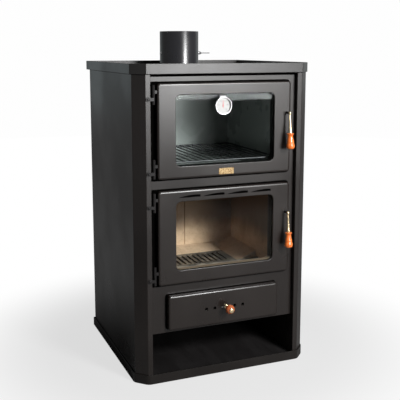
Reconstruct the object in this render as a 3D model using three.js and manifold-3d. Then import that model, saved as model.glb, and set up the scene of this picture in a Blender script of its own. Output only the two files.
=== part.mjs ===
// Free-standing wood cookstove: glazed oven above a glazed firebox, ash drawer, open log niche,
// tray-rimmed cooktop and a flue collar with a damper. Millimetres, +Z up, the front faces -Y and
// the origin is the centre of the base tray's underside.

import * as THREE from 'three';
import { mergeVertices } from 'three/addons/utils/BufferGeometryUtils.js';
import Module from 'manifold-3d';

const wasm = await Module();
wasm.setup();

// ---------------------------------------------------------------- driving dimensions
const fitGap = 0.3; // between two parts that touch

// Sheet-metal casing
const casingWidth = 560;
const casingDepth = 520; // front flanges to rear edge of the side panels
const casingSheet = 2.5;
const cornerChamfer = 31; // both ways, on the two front corners
const flangeWidth = 15;
const returnWallDepth = 40; // flange's inner wall, running rearwards
const rearReturn = 22;
const backFieldSideMargin = 75; // rear panel's raised field, from the casing's sides
const backFieldEndMargin = 120; // and from its ends
const backFieldRadius = 30;
const backFieldRise = 5;
const backFieldSlope = 6;
const plateRecess = 16; // front plate behind the flanges
const plateThickness = 3;

// Base tray and log niche
const baseHeight = 28;
const baseSideLip = 4.5; // overhang past the casing, each side and at the front
const baseRearLip = 7;
const baseChamfer = 35;
const baseSheet = 3;
const baseCornerBlend = 9; // softens the tray's outer corners
const nicheFloorHeight = 16;
const nicheSheet = 2;
const nicheClearHeight = 118.5; // base lip to the front plate's lower edge

// Heights up the front, from the front plate's lower edge
const plateBelowDrawer = 10.5;
const drawerHeight = 105;
const drawerToFireDoor = 33;
const fireDoorHeight = 282;
const doorToDoor = 34;
const ovenDoorHeight = 276;
const ovenDoorToRim = 25.6;

// Tray rim and cooktop
const rimHeight = 29.3;
const rimOverhang = 5.5;
const rimRearOverhang = 25;
const rimChamfer = 37;
const rimSheet = 2.5;
const rimLedge = 30; // inward ledge that carries the cooktop
const cooktopThickness = 6;
const cooktopEdgeGap = 1.2;

// Flue collar and damper
const flueDiameter = 130;
const flueWall = 2;
const flueHeight = 119; // above the cooktop
const flueFromRear = 122.5;
const flueFlangeWidth = 16;
const flueFlangeThickness = 3;
const flueLip = 1; // bevel on the spigot's rim
const damperHeight = 47; // axle above the cooktop
const damperAxleDiameter = 6;
const damperHeadDiameter = 9.2; // riveted head
const damperHeadHeight = 3.2;
const damperWireDiameter = 2.6;
const damperWireEnd = 47; // past the collar
const damperBushLength = 17;
const damperBushDiameter = 10;
const damperBushTaper = 6;
const damperDiscThickness = 2;
const damperDiscGap = 2.5;
const damperSleeveLength = 84;
const damperSleeveWall = 2;

// Doors
const doorToFlangeLeft = 20;
const doorToFlangeRight = 21;
const doorThickness = 14.7;
const doorSheet = 2.5;
const doorEdgeRadius = 8; // pressed front edge
const doorCornerRadius = 12;
const windowSideBorder = 55.5;
const windowTopBorder = 38;
const ovenWindowBottomBorder = 36;
const fireWindowBottomBorder = 42;
const windowCornerRadius = 16;
const windowLipRadius = 1.6;
const glassThickness = 4;
const glassOverlap = 11; // glass past the window edge
const innerFrameThickness = 2;
const innerFrameBorder = 9; // inner frame narrows the window by this
const innerFrameOverlap = 31;
const sealDiameter = 5;
const sealOverlap = 18;

// Fire-door air slots: blunt at the right, tapering to a point at the left
const slotCount = 4;
const slotLength = 66;
const slotPitch = 77;
const slotBluntHeight = 5.5;
const slotTipHeight = 0.8;
const slotCrown = 1.2; // bow of the upper edge
const slotAboveWindow = 16;

// Hinges
const hingeFromFlange = 9.5; // pin axis from the flange's inner edge
const hingeAxisDepth = 3; // pin axis behind the flange face
const knuckleDiameter = 8.6;
const knuckleLength = 28;
const hingeFromDoorEnd = 4;
const hingePinDiameter = 4.6;
const hingePinHeight = 22;
const hingePinClearance = 0.4;
const hingeEyeDiameter = 13;
const hingeEyeThickness = 2.5;
const hingeEyeFromFlangeEdge = 7;
const hingeStrapHeight = 9;
const hingeBoltDiameter = 8;
const hingeBoltHeight = 2.4;
const hingeBoltCrown = 1.1; // domed part of the bolt's head
const hingeBoltFlat = 4.8; // across the top of the dome
const hingeEyeRise = 15.5; // eye above the hinge's lower end
const hingeTabDrop = 20; // door tab below the hinge's upper end
const hingeTabThickness = 5;
const hingePinEndGap = 2; // in the blind bore
const knuckleBevel = 0.8;

// Handles
const handleFromDoorEdge = 14;
const ovenHandleDrop = 95; // pivot below the door's top
const fireHandleDrop = 91;
const handleShaftDiameter = 8;
const handleShaftClearance = 0.5;
const handleStandoff = 19; // stem's top in front of the door
const handleLean = 4.4; // degrees, grip end outwards
const stemLength = 60;
const stemTopDiameter = 7;
const stemFootDiameter = 10.4;
const gripLength = 49;
const gripCollarDiameter = 19;
const gripWaistDiameter = 16.4;
const gripBulbDiameter = 25.5;
const gripSteps = 14; // along the grip's spline
const tongueLength = 15; // latch tongue, pivot to tip
const tongueWidth = 10;
const tongueThickness = 3;
const strikeThickness = 3; // strike on the front plate that the tongue bears on
const strikeHeight = 10;
const strikeWidth = 12;

// Oven
const ovenSheet = 2;
const ovenOpeningBorder = 42; // front plate's oven opening inside the door's outline, at each side
const ovenOpeningEndBorder = 25; // and at top and bottom
const ovenBoxMargin = 16; // oven walls past the opening
const smokeGapBehindOven = 60;
const rackWire = 4;
const rackFrameWire = 5;
const rackWireCount = 15;
const rackAboveOvenFloor = 22;
const rackCornerRadius = 12;
const rackSideGap = 1;
const rackEndGap = 18;
const runnerWidth = 7;
const runnerThickness = 2;

// Smoke jacket round the oven
const jacketSheet = 2;
const jacketSideGap = 36; // jacket wall outside the oven wall
const jacketBehind = 45; // jacket's back wall in front of the casing's rear
const smokeOutletWidth = 240;
const smokeOutletDepth = 44;

// Firebox
const fireboxSheet = 3;
const fireboxDepth = 361; // from the front plate's back
const fireboxSideMargin = 40; // firebox's walls past the fire opening
const fireboxFloorBelowDoor = 19; // under side of its floor below the fire door's lower edge
const fireboxTopAboveDoor = 27;
const fireOpeningBorder = 48.5; // front plate's fire opening inside the door's outline, at each side
const fireOpeningEndBorder = 26;
const throatDepth = 31;
const throatSheet = 3;
const throatFlange = 16;
const brickThickness = 27;
const brickHeight = 300;
const backBrickJoint = 0.8;
const floorBrickRise = 28; // sloped floor bricks, wall edge above the grate
const rearBrickRise = 14;

// Cast grate
const grateWidth = 216;
const grateDepth = 126;
const grateHeight = 20;
const grateCornerRadius = 8;
const grateSlotCount = 10;
const grateSlotPitch = 18;
const grateSlotWidth = 9;
const grateSlotDraft = 3; // each slot is this much wider underneath
const grateSlotLength = 94;
const grateRim = 7;
const grateRelief = 6; // bars shallower than the rim
const grateRib = 8;
const grateBehindPlate = 137; // front edge behind the front plate's back
const ashHoleMargin = 12;
const logGuardDepth = 84;
const logGuardRidgeHeight = 9;
const logGuardRidgeWidth = 16;
const logGuardRidgePitch = 38;
const logGuardRidgeFromRear = 14;

// Ash chamber and drawer
const ashSheet = 2;
const drawerOffset = -5; // the drawer sits left of centre
const drawerWidth = 360;
const drawerProud = 20; // drawer front's face in front of the front plate
const drawerSheet = 2.5;
const drawerEdgeRadius = 5;
const drawerCornerRadius = 3;
const drawerOpeningBorder = 14; // front plate's drawer opening inside the drawer front
const drawerSill = 5;
const panSideGap = 3;
const panTopGap = 14;
const panDepth = 330; // behind the front plate's back
const panSheet = 1.5;
const chamberSideGap = 10;
const chamberRearGap = 16;
const runnerRailWidth = 12;
const airHoleDiameter = 10;
const airHoleOffsets = [-60, -33, 33, 60];
const airSlideTravel = 13;
const airSlideThickness = 1.5;
const airSlideHeight = 34;
const airSlideEnd = 18; // plate past the outer holes
const airSlideCorner = 4;
const knobRaise = -1; // knob axis from the drawer front's middle height
const knobStemDiameter = 6;
const knobFerruleDiameter = 14;
const knobFerruleLength = 14;
const knobFerruleFlange = 2.5;
const knobFerruleNeck = 9;
const knobFerruleCup = 11; // where the ball seats
const knobBallDiameter = 28;
const knobCapDiameter = 15;
const knobCapThickness = 3.2;
const knobCapEdge = 0.6;
const knobShift = 5; // knob right of the hole row's middle

// Thermometer and nameplate
const gaugeDiameter = 52;
const gaugeCaseDepth = 9;
const gaugeBezel = 2.6;
const gaugeBezelDepth = 3.2;
const gaugeBezelRoll = 0.8;
const gaugeStep = 1; // case wall inside the bezel
const gaugeWall = 1.2;
const gaugeProud = 18; // front of the case from the door face
const gaugeFromCentre = -16.5;
const gaugeBelowWindowTop = 29;
const gaugeTabWidth = 22;
const gaugeTabNeck = 15;
const gaugeTabThickness = 1;
const gaugeTabFlareDrop = 10; // narrow part starts this far under the hook
const gaugeTabFlareHeight = 6;
const gaugeTabBendDrop = 8;
const gaugeTabBendDepth = 4;
const gaugeHookRise = 2;
const gaugeLensInset = 1; // lens behind the bezel's face
const gaugeDialThickness = 0.8;
const gaugeLensThickness = 1.2;
const gaugePointerLength = 15;
const gaugePointerWidth = 1.8;
const gaugePointerThickness = 0.6;
const gaugeSpindleDiameter = 3;
const gaugeSpindleProud = 0.6;
const nameplateWidth = 48;
const nameplateHeight = 18.5;
const nameplateThickness = 1;
const nameplateCorner = 1.5;
const nameplateDrop = 3; // below the middle of the door's lower border

// Facets
const arcSegments = 4; // per quarter turn of a corner
const edgeSteps = 3; // across a pressed edge
const turnSegments = 16; // round a turned part
const smallTurnSegments = 12;
const pipeSegments = 36;
const gaugeSegments = 28;
const wireSides = 6;
const wireBendSteps = 3;
const ballSteps = 10;
const past = 1; // how far a cutting solid runs past the faces that it opens

// ---------------------------------------------------------------- derived places
const flangeY = -(casingDepth + baseSideLip + baseRearLip) / 2 + baseSideLip;
const behind = (depth) => flangeY + depth; // y of a plane this far behind the flange face
const casingHalf = casingWidth / 2;
const casingRear = behind(casingDepth);
const backOutside = casingRear - casingSheet - fitGap; // rear panel, inside the side panels' returns
const backInside = backOutside - casingSheet;
const nicheRear = backInside - backFieldRise - fitGap;
const flangeInner = casingHalf - cornerChamfer - flangeWidth;
const plateFront = behind(plateRecess);
const plateBack = plateFront + plateThickness;
const insideFront = plateBack + fitGap; // where the inner boxes start

const plateBottom = baseHeight + nicheClearHeight;
const drawerBottom = plateBottom + plateBelowDrawer;
const drawerTop = drawerBottom + drawerHeight;
const fireDoorBottom = drawerTop + drawerToFireDoor;
const fireDoorTop = fireDoorBottom + fireDoorHeight;
const ovenDoorBottom = fireDoorTop + doorToDoor;
const ovenDoorTop = ovenDoorBottom + ovenDoorHeight;
const rimBottom = ovenDoorTop + ovenDoorToRim;
const casingTop = rimBottom - fitGap;
const cooktopBottom = rimBottom + rimSheet + fitGap;
const cooktopTop = cooktopBottom + cooktopThickness;

const doorLeft = -flangeInner + doorToFlangeLeft;
const doorRight = flangeInner - doorToFlangeRight;
const doorBack = plateFront - fitGap;
const doorFront = doorBack - doorThickness;
const doorMiddle = (doorLeft + doorRight) / 2;
const doorWidth = doorRight - doorLeft;
const windowWidth = doorWidth - 2 * windowSideBorder;

const hingeX = -flangeInner + hingeFromFlange;
const hingeY = behind(hingeAxisDepth);
const handleX = doorRight - handleFromDoorEdge;
const tongueBack = plateFront - strikeThickness - fitGap;

const fireFloorBottom = fireDoorBottom - fireboxFloorBelowDoor;
const fireFloorTop = fireFloorBottom + fireboxSheet;
const fireboxTop = fireDoorTop + fireboxTopAboveDoor;
const fireboxHalf = doorWidth / 2 - fireOpeningBorder + fireboxSideMargin;
const fireboxBack = insideFront + fireboxDepth;
const grateTop = fireFloorTop + fitGap + grateHeight;
const grateFront = plateBack + grateBehindPlate;
const grateBack = grateFront + grateDepth;
const brickInner = fireboxHalf - fireboxSheet - fitGap - brickThickness; // side bricks' inner face
const brickFront = insideFront + throatDepth + fitGap;
const backBrickFront = fireboxBack - fireboxSheet - fitGap - brickThickness;

const jacketBack = casingRear - jacketBehind;
const ovenBack = jacketBack - smokeGapBehindOven;
const ovenOpeningHalf = doorWidth / 2 - ovenOpeningBorder;
const ovenOpeningBottom = ovenDoorBottom + ovenOpeningEndBorder;
const ovenOpeningTop = ovenDoorTop - ovenOpeningEndBorder;
const ovenInnerHalf = ovenOpeningHalf + ovenBoxMargin;
const ovenInnerBottom = ovenOpeningBottom - ovenBoxMargin / 2;
const ovenInnerTop = ovenOpeningTop + ovenBoxMargin / 2;
const jacketHalf = ovenInnerHalf + ovenSheet + jacketSideGap;

const flueY = casingRear - flueFromRear;
const flueRadius = flueDiameter / 2;

// ---------------------------------------------------------------- solids
// Merges a geometry's vertices, drops its collapsed triangles and turns its faces outwards.
function closed(geometry) {
  const bare = geometry.index ? geometry.toNonIndexed() : geometry.clone();
  for (const attribute of Object.keys(bare.attributes)) {
    if (attribute !== 'position') bare.deleteAttribute(attribute);
  }
  const merged = mergeVertices(bare, 1e-4);
  const place = merged.getAttribute('position');
  const corner = (id) => new THREE.Vector3().fromBufferAttribute(place, id);
  const kept = [];
  let volume = 0;
  for (let i = 0; i < merged.index.count; i += 3) {
    const [a, b, c] = [0, 1, 2].map((k) => merged.index.getX(i + k));
    if (a === b || b === c || c === a) continue;
    kept.push([a, b, c]);
    volume += corner(a).dot(corner(b).cross(corner(c)));
  }
  merged.setIndex(kept.flatMap(([a, b, c]) => (volume < 0 ? [a, c, b] : [a, b, c])));
  return merged;
}

function toSolid(geometry) {
  const mesh = closed(geometry);
  return new wasm.Manifold(new wasm.Mesh({
    numProp: 3,
    vertProperties: new Float32Array(mesh.getAttribute('position').array),
    triVerts: new Uint32Array(mesh.index.array),
  }));
}

function toGeometry(solid) {
  const mesh = solid.getMesh();
  const geometry = new THREE.BufferGeometry();
  geometry.setAttribute('position', new THREE.BufferAttribute(mesh.vertProperties, 3));
  geometry.setIndex(new THREE.BufferAttribute(mesh.triVerts, 1));
  return geometry;
}

const cut = (base, ...tools) => toGeometry(
  tools.reduce((solid, tool) => solid.subtract(toSolid(tool)), toSolid(base)),
);
const join = (base, ...others) => toGeometry(
  others.reduce((solid, other) => solid.add(toSolid(other)), toSolid(base)),
);

// ---------------------------------------------------------------- shapes
// A box between two places on each axis.
function block([x0, x1], [y0, y1], [z0, z1]) {
  const box = new THREE.BoxGeometry(x1 - x0, y1 - y0, z1 - z0);
  return box.translate((x0 + x1) / 2, (y0 + y1) / 2, (z0 + z1) / 2);
}

function roundedRect(width, height, radius, centreX = 0, centreY = 0) {
  const shape = new THREE.Shape();
  const reachX = width / 2 - radius;
  const reachY = height / 2 - radius;
  [[1, 1], [-1, 1], [-1, -1], [1, -1]].forEach(([sx, sy], quarter) => {
    const start = (quarter * Math.PI) / 2;
    shape.absarc(centreX + sx * reachX, centreY + sy * reachY, radius, start, start + Math.PI / 2);
  });
  return shape;
}

// A shape in plan, between two heights.
function slab(shape, from, to) {
  const options = { depth: to - from, bevelEnabled: false, curveSegments: arcSegments };
  return new THREE.ExtrudeGeometry(shape, options).translate(0, 0, from);
}

// A shape drawn on the stove's front (x, z), between two depths y.
const frontSlab = (shape, from, to) => slab(shape, 0, to - from).rotateX(Math.PI / 2).translate(0, to, 0);

// A section drawn in (y, z), between two places x.
function lengthSlab(shape, from, to) {
  const turn = new THREE.Matrix4().makeBasis(
    new THREE.Vector3(0, 1, 0), new THREE.Vector3(0, 0, 1), new THREE.Vector3(1, 0, 0),
  );
  return slab(shape, from, to).applyMatrix4(turn);
}

// A skin through rings of equal point counts; a looped loft closes on its first ring.
function loft(rings, looped = false) {
  const count = rings[0].length;
  const index = [];
  const bands = looped ? rings.length : rings.length - 1;
  for (let band = 0; band < bands; band += 1) {
    const low = band * count;
    const high = ((band + 1) % rings.length) * count;
    for (let k = 0; k < count; k += 1) {
      const next = (k + 1) % count;
      index.push(low + k, low + next, high + next, low + k, high + next, high + k);
    }
  }
  const last = (rings.length - 1) * count;
  for (let k = 1; k + 1 < count && !looped; k += 1) {
    index.push(0, k + 1, k, last, last + k, last + k + 1);
  }
  const geometry = new THREE.BufferGeometry();
  const flat = rings.flat().flatMap((point) => [point.x, point.y, point.z]);
  geometry.setAttribute('position', new THREE.Float32BufferAttribute(flat, 3));
  geometry.setIndex(index);
  return geometry;
}

// A rounded rectangle's corner points, drawn in by an inset, in (x, z) at the depth y.
function frontRing({ width, height, radius, x, z }, inset, y) {
  const shape = roundedRect(width - 2 * inset, height - 2 * inset, Math.max(radius - inset, 0.5), x, z);
  const points = shape.getPoints(arcSegments);
  return points.slice(0, points[0].equals(points.at(-1)) ? -1 : undefined)
    .map((point) => new THREE.Vector3(point.x, y, point.y));
}

// The steps [inset, depth] of a quarter-round edge of a given radius, from the face to the side.
function roundEdge(radius, steps = edgeSteps) {
  return Array.from({ length: steps + 1 }, (_, step) => {
    const angle = (step / steps) * (Math.PI / 2);
    return [radius * (1 - Math.sin(angle)), radius * (1 - Math.cos(angle))];
  });
}

// A turned part: its profile is [radius, height] pairs and its axis is z.
function turned(profile, segments = turnSegments) {
  const points = profile.map(([radius, height]) => new THREE.Vector2(radius, height));
  return new THREE.LatheGeometry(points, segments).rotateX(Math.PI / 2);
}

const rod = (radius, from, to, segments = turnSegments) => turned(
  [[0, from], [radius, from], [radius, to], [0, to]], segments,
);
const alongY = (geometry) => geometry.rotateX(-Math.PI / 2); // z to y
const alongX = (geometry) => geometry.rotateY(Math.PI / 2); // z to x
const mirrored = (geometry) => closed(geometry.clone().scale(-1, 1, 1));

// A bent sheet's section: an open line of folds, thickened to its right with mitred corners.
function foldedSheet(folds, thickness) {
  const line = folds.map(([x, y]) => new THREE.Vector2(x, y));
  const rightOf = (from, to) => {
    const along = to.clone().sub(from).normalize();
    return new THREE.Vector2(along.y, -along.x);
  };
  const inside = line.map((point, i) => {
    const before = rightOf(line[Math.max(i - 1, 0)], line[Math.max(i, 1)]);
    const after = rightOf(line[Math.min(i, line.length - 2)], line[Math.min(i + 1, line.length - 1)]);
    const mitre = before.clone().add(after).normalize();
    return point.clone().addScaledVector(mitre, thickness / mitre.dot(before));
  });
  return new THREE.Shape([...line, ...inside.reverse()]);
}

// A plan outline with its two front corners chamfered, optionally with the chamfers' ends blended.
function chamferedPlan(half, front, rear, chamfer, blend = 0) {
  const corners = [
    [half, rear], [-half, rear], [-half, front + chamfer], [-half + chamfer, front],
    [half - chamfer, front], [half, front + chamfer],
  ].map(([x, y]) => new THREE.Vector2(x, y));
  const shape = new THREE.Shape();
  corners.forEach((corner, i) => {
    const from = corners[(i + corners.length - 1) % corners.length];
    const to = corners[(i + 1) % corners.length];
    const toward = (target) => corner.clone().add(target.clone().sub(corner).setLength(blend));
    const rounded = blend > 0 && i > 1;
    const entry = rounded ? toward(from) : corner;
    if (i === 0) shape.moveTo(entry.x, entry.y);
    else shape.lineTo(entry.x, entry.y);
    if (rounded) {
      const exit = toward(to);
      shape.quadraticCurveTo(corner.x, corner.y, exit.x, exit.y);
    }
  });
  shape.closePath();
  return shape;
}

// ---------------------------------------------------------------- materials
const stove = new THREE.Group();
const finishes = {
  paint: ['#3b3a3b', 0.5, 0.3],
  darkPaint: ['#232223', 0.6, 0.2],
  steel: ['#8b8d8f', 0.35, 0.9],
  darkSteel: ['#2c2e31', 0.4, 0.7],
  iron: ['#3a3937', 0.7, 0.6],
  brick: ['#b39373', 0.95, 0],
  glass: ['#8fa0a6', 0.05, 0],
  rope: ['#57534c', 0.95, 0],
  brass: ['#c9a45a', 0.3, 0.9],
  grip: ['#b5511c', 0.3, 0],
  ball: ['#7d3520', 0.3, 0],
  dial: ['#f2f2ef', 0.5, 0],
  pointer: ['#c8202a', 0.5, 0],
};

// Names a sub-part and gives it a finish of its own.
function place(name, finish, geometry) {
  const [color, roughness, metalness] = finishes[finish];
  const material = new THREE.MeshStandardMaterial({ color, roughness, metalness });
  const mesh = new THREE.Mesh(closed(geometry), material);
  mesh.name = name;
  stove.add(mesh);
}

// ---------------------------------------------------------------- casing
function baseTray() {
  const half = casingHalf + baseSideLip;
  const front = flangeY - baseSideLip;
  const rear = casingRear + baseRearLip;
  const outer = chamferedPlan(half, front, rear, baseChamfer, baseCornerBlend);
  const inner = chamferedPlan(
    half - baseSheet, front + baseSheet, rear - baseSheet,
    baseChamfer - baseSheet * (2 - Math.SQRT2),
  );
  return cut(slab(outer, 0, baseHeight), slab(inner, baseSheet, baseHeight + past));
}

// Folded panel: rear return, side, 45-degree front corner, front flange and its return wall.
function sidePanel() {
  const section = foldedSheet([
    [casingHalf - rearReturn, casingRear], [casingHalf, casingRear],
    [casingHalf, flangeY + cornerChamfer], [casingHalf - cornerChamfer, flangeY],
    [flangeInner, flangeY], [flangeInner, behind(returnWallDepth)],
  ], casingSheet);
  return slab(section, baseSheet + fitGap, casingTop);
}

// A sheet with a shallow raised field that stiffens it.
function backPanel() {
  const bottom = baseSheet + fitGap;
  const field = {
    width: casingWidth - 2 * backFieldSideMargin,
    height: casingTop - bottom - 2 * backFieldEndMargin,
    radius: backFieldRadius, x: 0, z: (casingTop + bottom) / 2,
  };
  const half = casingHalf - casingSheet - fitGap;
  const sheet = block([-half, half], [backInside, backOutside], [bottom, casingTop]);
  const wide = (y) => frontRing(field, 0, y);
  const narrow = (y) => frontRing(field, backFieldSlope, y);
  const middle = (backInside + backOutside) / 2;
  const raised = loft([narrow(backInside - backFieldRise), wide(backInside), wide(middle)]);
  const hollow = loft([narrow(backOutside - backFieldRise), wide(backOutside), wide(backOutside + past)]);
  return cut(join(sheet, raised), hollow);
}

function nicheFloor() {
  const half = flangeInner - fitGap;
  const front = flangeY + casingSheet;
  const bottom = baseSheet + fitGap;
  return cut(
    block([-half, half], [front, nicheRear], [bottom, nicheFloorHeight]),
    block([-half + nicheSheet, half - nicheSheet], [front + nicheSheet, nicheRear - nicheSheet],
      [bottom - past, nicheFloorHeight - nicheSheet]),
  );
}

// Side walls and ceiling of the niche: an inverted channel behind the flanges' return walls.
function nicheLiner() {
  const wallFront = behind(returnWallDepth) + fitGap;
  const outer = flangeInner + nicheSheet;
  const ceiling = plateBottom + nicheSheet;
  const channel = cut(
    block([-outer, outer], [wallFront, nicheRear], [baseSheet + fitGap, ceiling]),
    block([-flangeInner, flangeInner], [wallFront - past, nicheRear + past], [baseSheet, plateBottom]),
  );
  const tongueHalf = flangeInner - fitGap;
  const tongue = block([-tongueHalf, tongueHalf], [insideFront, wallFront + past], [plateBottom, ceiling]);
  return join(channel, tongue);
}

// Front plate with the oven, fire and drawer openings and a strike for each latch tongue.
function frontPlate() {
  const half = flangeInner - fitGap;
  const from = plateFront - past;
  const to = plateBack + past;
  const sheet = block([-half, half], [plateFront, plateBack], [plateBottom, casingTop]);
  const opening = (x0, x1, z0, z1) => block([x0, x1], [from, to], [z0, z1]);
  const strike = (pivotZ) => block(
    [handleX - strikeWidth / 2, handleX + strikeWidth / 2], [plateFront - strikeThickness, plateBack],
    [pivotZ - tongueLength, pivotZ - tongueLength + strikeHeight],
  );
  return cut(
    join(sheet, strike(ovenDoorTop - ovenHandleDrop), strike(fireDoorTop - fireHandleDrop)),
    opening(doorMiddle - ovenOpeningHalf, doorMiddle + ovenOpeningHalf, ovenOpeningBottom, ovenOpeningTop),
    opening(doorLeft + fireOpeningBorder, doorRight - fireOpeningBorder,
      fireDoorBottom + fireOpeningEndBorder, fireDoorTop - fireOpeningEndBorder),
    opening(drawerOpening.left, drawerOpening.right, drawerOpening.bottom, drawerOpening.top),
  );
}

// ---------------------------------------------------------------- top
function rimFrame() {
  const half = casingHalf + rimOverhang;
  const front = flangeY - rimOverhang;
  const rear = casingRear + rimRearOverhang;
  const plan = (inset, blend) => chamferedPlan(
    half - inset, front + inset, rear - inset, rimChamfer - inset * (2 - Math.SQRT2), blend,
  );
  return cut(
    slab(plan(0), rimBottom, rimBottom + rimHeight),
    slab(plan(rimSheet), rimBottom + rimSheet, rimBottom + rimHeight + past),
    slab(plan(rimLedge), rimBottom - past, rimBottom + rimSheet + past),
  );
}

function cooktop() {
  const inset = rimSheet + cooktopEdgeGap;
  const half = casingHalf + rimOverhang - inset;
  const plan = chamferedPlan(
    half, flangeY - rimOverhang + inset, casingRear + rimRearOverhang - inset,
    rimChamfer - inset * (2 - Math.SQRT2),
  );
  const hole = rod(flueRadius - flueWall, cooktopBottom - past, cooktopTop + past, pipeSegments);
  return cut(slab(plan, cooktopBottom, cooktopTop), hole.translate(0, flueY, 0));
}

function flueCollar() {
  const foot = cooktopTop + fitGap;
  const top = cooktopTop + flueHeight;
  const inner = flueRadius - flueWall;
  const pipe = turned([
    [inner, foot], [flueRadius + flueFlangeWidth, foot],
    [flueRadius + flueFlangeWidth, foot + flueFlangeThickness], [flueRadius, foot + flueFlangeThickness],
    [flueRadius, top - flueLip], [flueRadius - flueLip / 2, top], [inner, top], [inner, foot],
  ], pipeSegments).translate(0, flueY, 0);
  const reach = flueRadius + past;
  const bore = alongX(rod(damperAxleDiameter / 2 + fitGap, -reach, reach));
  return cut(pipe, bore.translate(0, flueY, cooktopTop + damperHeight));
}

// Axle through the collar: riveted head at the left, clamp bush and thin wire tail at the right.
function damperAxle() {
  const radius = damperAxleDiameter / 2;
  const bush = damperBushDiameter / 2;
  const wire = damperWireDiameter / 2;
  const head = flueRadius + fitGap;
  const rivet = damperHeadDiameter / 2;
  const bushEnd = head + damperBushLength;
  const tail = flueRadius + damperWireEnd;
  const profile = [
    [0, -head - damperHeadHeight], [rivet / 2, -head - damperHeadHeight],
    [rivet, -head - damperHeadHeight / 2], [rivet, -head], [radius, -head],
    [radius, head], [bush, head], [bush, bushEnd - damperBushTaper], [wire, bushEnd],
    [wire, tail - wire], [wire / 2, tail], [0, tail],
  ];
  return alongX(turned(profile)).translate(0, flueY, cooktopTop + damperHeight);
}

// Disc with a rolled sleeve that the axle runs through; it lies edge-on to the smoke when open.
function damperDisc() {
  const radius = flueRadius - flueWall - damperDiscGap;
  const disc = alongY(rod(radius, -damperDiscThickness / 2, damperDiscThickness / 2, pipeSegments));
  const bore = damperAxleDiameter / 2 + fitGap;
  const half = damperSleeveLength / 2;
  const sleeve = alongX(rod(bore + damperSleeveWall, -half, half, smallTurnSegments));
  const hole = alongX(rod(bore, -flueRadius, flueRadius, smallTurnSegments));
  return cut(join(disc, sleeve), hole).translate(0, flueY, cooktopTop + damperHeight);
}

// ---------------------------------------------------------------- oven and smoke jacket
function ovenBox() {
  const [floor, roof] = [ovenInnerBottom, ovenInnerTop];
  const shell = cut(
    block([doorMiddle - ovenInnerHalf - ovenSheet, doorMiddle + ovenInnerHalf + ovenSheet],
      [insideFront, ovenBack], [floor - ovenSheet, roof + ovenSheet]),
    block([doorMiddle - ovenInnerHalf, doorMiddle + ovenInnerHalf],
      [insideFront - past, ovenBack - ovenSheet], [floor, roof]),
  );
  const rest = floor + rackAboveOvenFloor;
  const runner = (side) => {
    const wall = doorMiddle + side * (ovenInnerHalf + ovenSheet / 2);
    const edge = doorMiddle + side * (ovenInnerHalf - runnerWidth);
    return block([Math.min(wall, edge), Math.max(wall, edge)],
      [insideFront + rackEndGap, ovenBack - ovenSheet - rackEndGap], [rest - runnerThickness, rest]);
  };
  return join(shell, runner(-1), runner(1));
}

// Wire rack: a rod frame with wires from front to back.
function ovenRack() {
  const half = ovenInnerHalf - rackSideGap;
  const [front, rear] = [insideFront + rackEndGap, ovenBack - ovenSheet - rackEndGap];
  const radius = rackFrameWire / 2;
  const centreZ = ovenInnerBottom + rackAboveOvenFloor + fitGap + radius;
  const width = 2 * (half - radius);
  const depth = rear - front - 2 * radius;
  const middle = (front + rear) / 2;
  const rings = Array.from({ length: wireSides }, (_, k) => {
    const angle = (k / wireSides) * 2 * Math.PI;
    const grow = 2 * radius * Math.cos(angle);
    const shape = roundedRect(width + grow, depth + grow, rackCornerRadius + grow / 2, doorMiddle, middle);
    return shape.getPoints(wireBendSteps).slice(0, -1)
      .map((point) => new THREE.Vector3(point.x, point.y, centreZ + radius * Math.sin(angle)));
  });
  const wire = (x) => alongY(rod(rackWire / 2, front + radius, rear - radius, wireSides))
    .translate(x, 0, centreZ);
  const pitch = (width - rackFrameWire) / (rackWireCount + 1);
  const wires = Array.from({ length: rackWireCount }, (_, k) => (
    wire(doorMiddle + (k + 1 - (rackWireCount + 1) / 2) * pitch)
  ));
  return join(loft(rings, true), ...wires);
}

// Smoke jacket: left, rear and right walls and a floor, round the oven, closed above by the cooktop.
function smokeJacket() {
  const floor = fireboxTop + fitGap;
  const top = casingTop;
  const outletRear = backBrickFront - fitGap;
  return cut(
    block([doorMiddle - jacketHalf, doorMiddle + jacketHalf], [insideFront, jacketBack], [floor, top]),
    block([doorMiddle - jacketHalf + jacketSheet, doorMiddle + jacketHalf - jacketSheet],
      [insideFront - past, jacketBack - jacketSheet], [floor + jacketSheet, top + past]),
    block([-smokeOutletWidth / 2, smokeOutletWidth / 2], [outletRear - smokeOutletDepth, outletRear],
      [floor - past, floor + jacketSheet + past]),
  );
}

// ---------------------------------------------------------------- firebox
function fireboxShell() {
  const hole = ashHoleMargin;
  const outletRear = backBrickFront - fitGap;
  return cut(
    block([-fireboxHalf, fireboxHalf], [insideFront, fireboxBack], [fireFloorBottom, fireboxTop]),
    block([-fireboxHalf + fireboxSheet, fireboxHalf - fireboxSheet],
      [insideFront - past, fireboxBack - fireboxSheet], [fireFloorTop, fireboxTop - fireboxSheet]),
    block([-grateWidth / 2 + hole, grateWidth / 2 - hole], [grateFront + hole, grateBack - hole],
      [fireFloorBottom - past, fireFloorTop + past]),
    block([-smokeOutletWidth / 2, smokeOutletWidth / 2], [outletRear - smokeOutletDepth, outletRear],
      [fireboxTop - fireboxSheet - past, fireboxTop + past]),
  );
}

// Cast throat between the front plate's opening and the brick lining.
function fireboxThroat() {
  const [left, right] = [doorLeft + fireOpeningBorder, doorRight - fireOpeningBorder];
  const [bottom, top] = [fireDoorBottom + fireOpeningEndBorder, fireDoorTop - fireOpeningEndBorder];
  const rear = insideFront + throatDepth;
  const grown = (margin, y0, y1) => block(
    [left - margin, right + margin], [y0, y1], [bottom - margin, top + margin],
  );
  return cut(
    join(grown(throatSheet, insideFront, rear), grown(throatFlange, rear - throatSheet, rear)),
    grown(0, insideFront - past, rear + past),
  );
}

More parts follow.
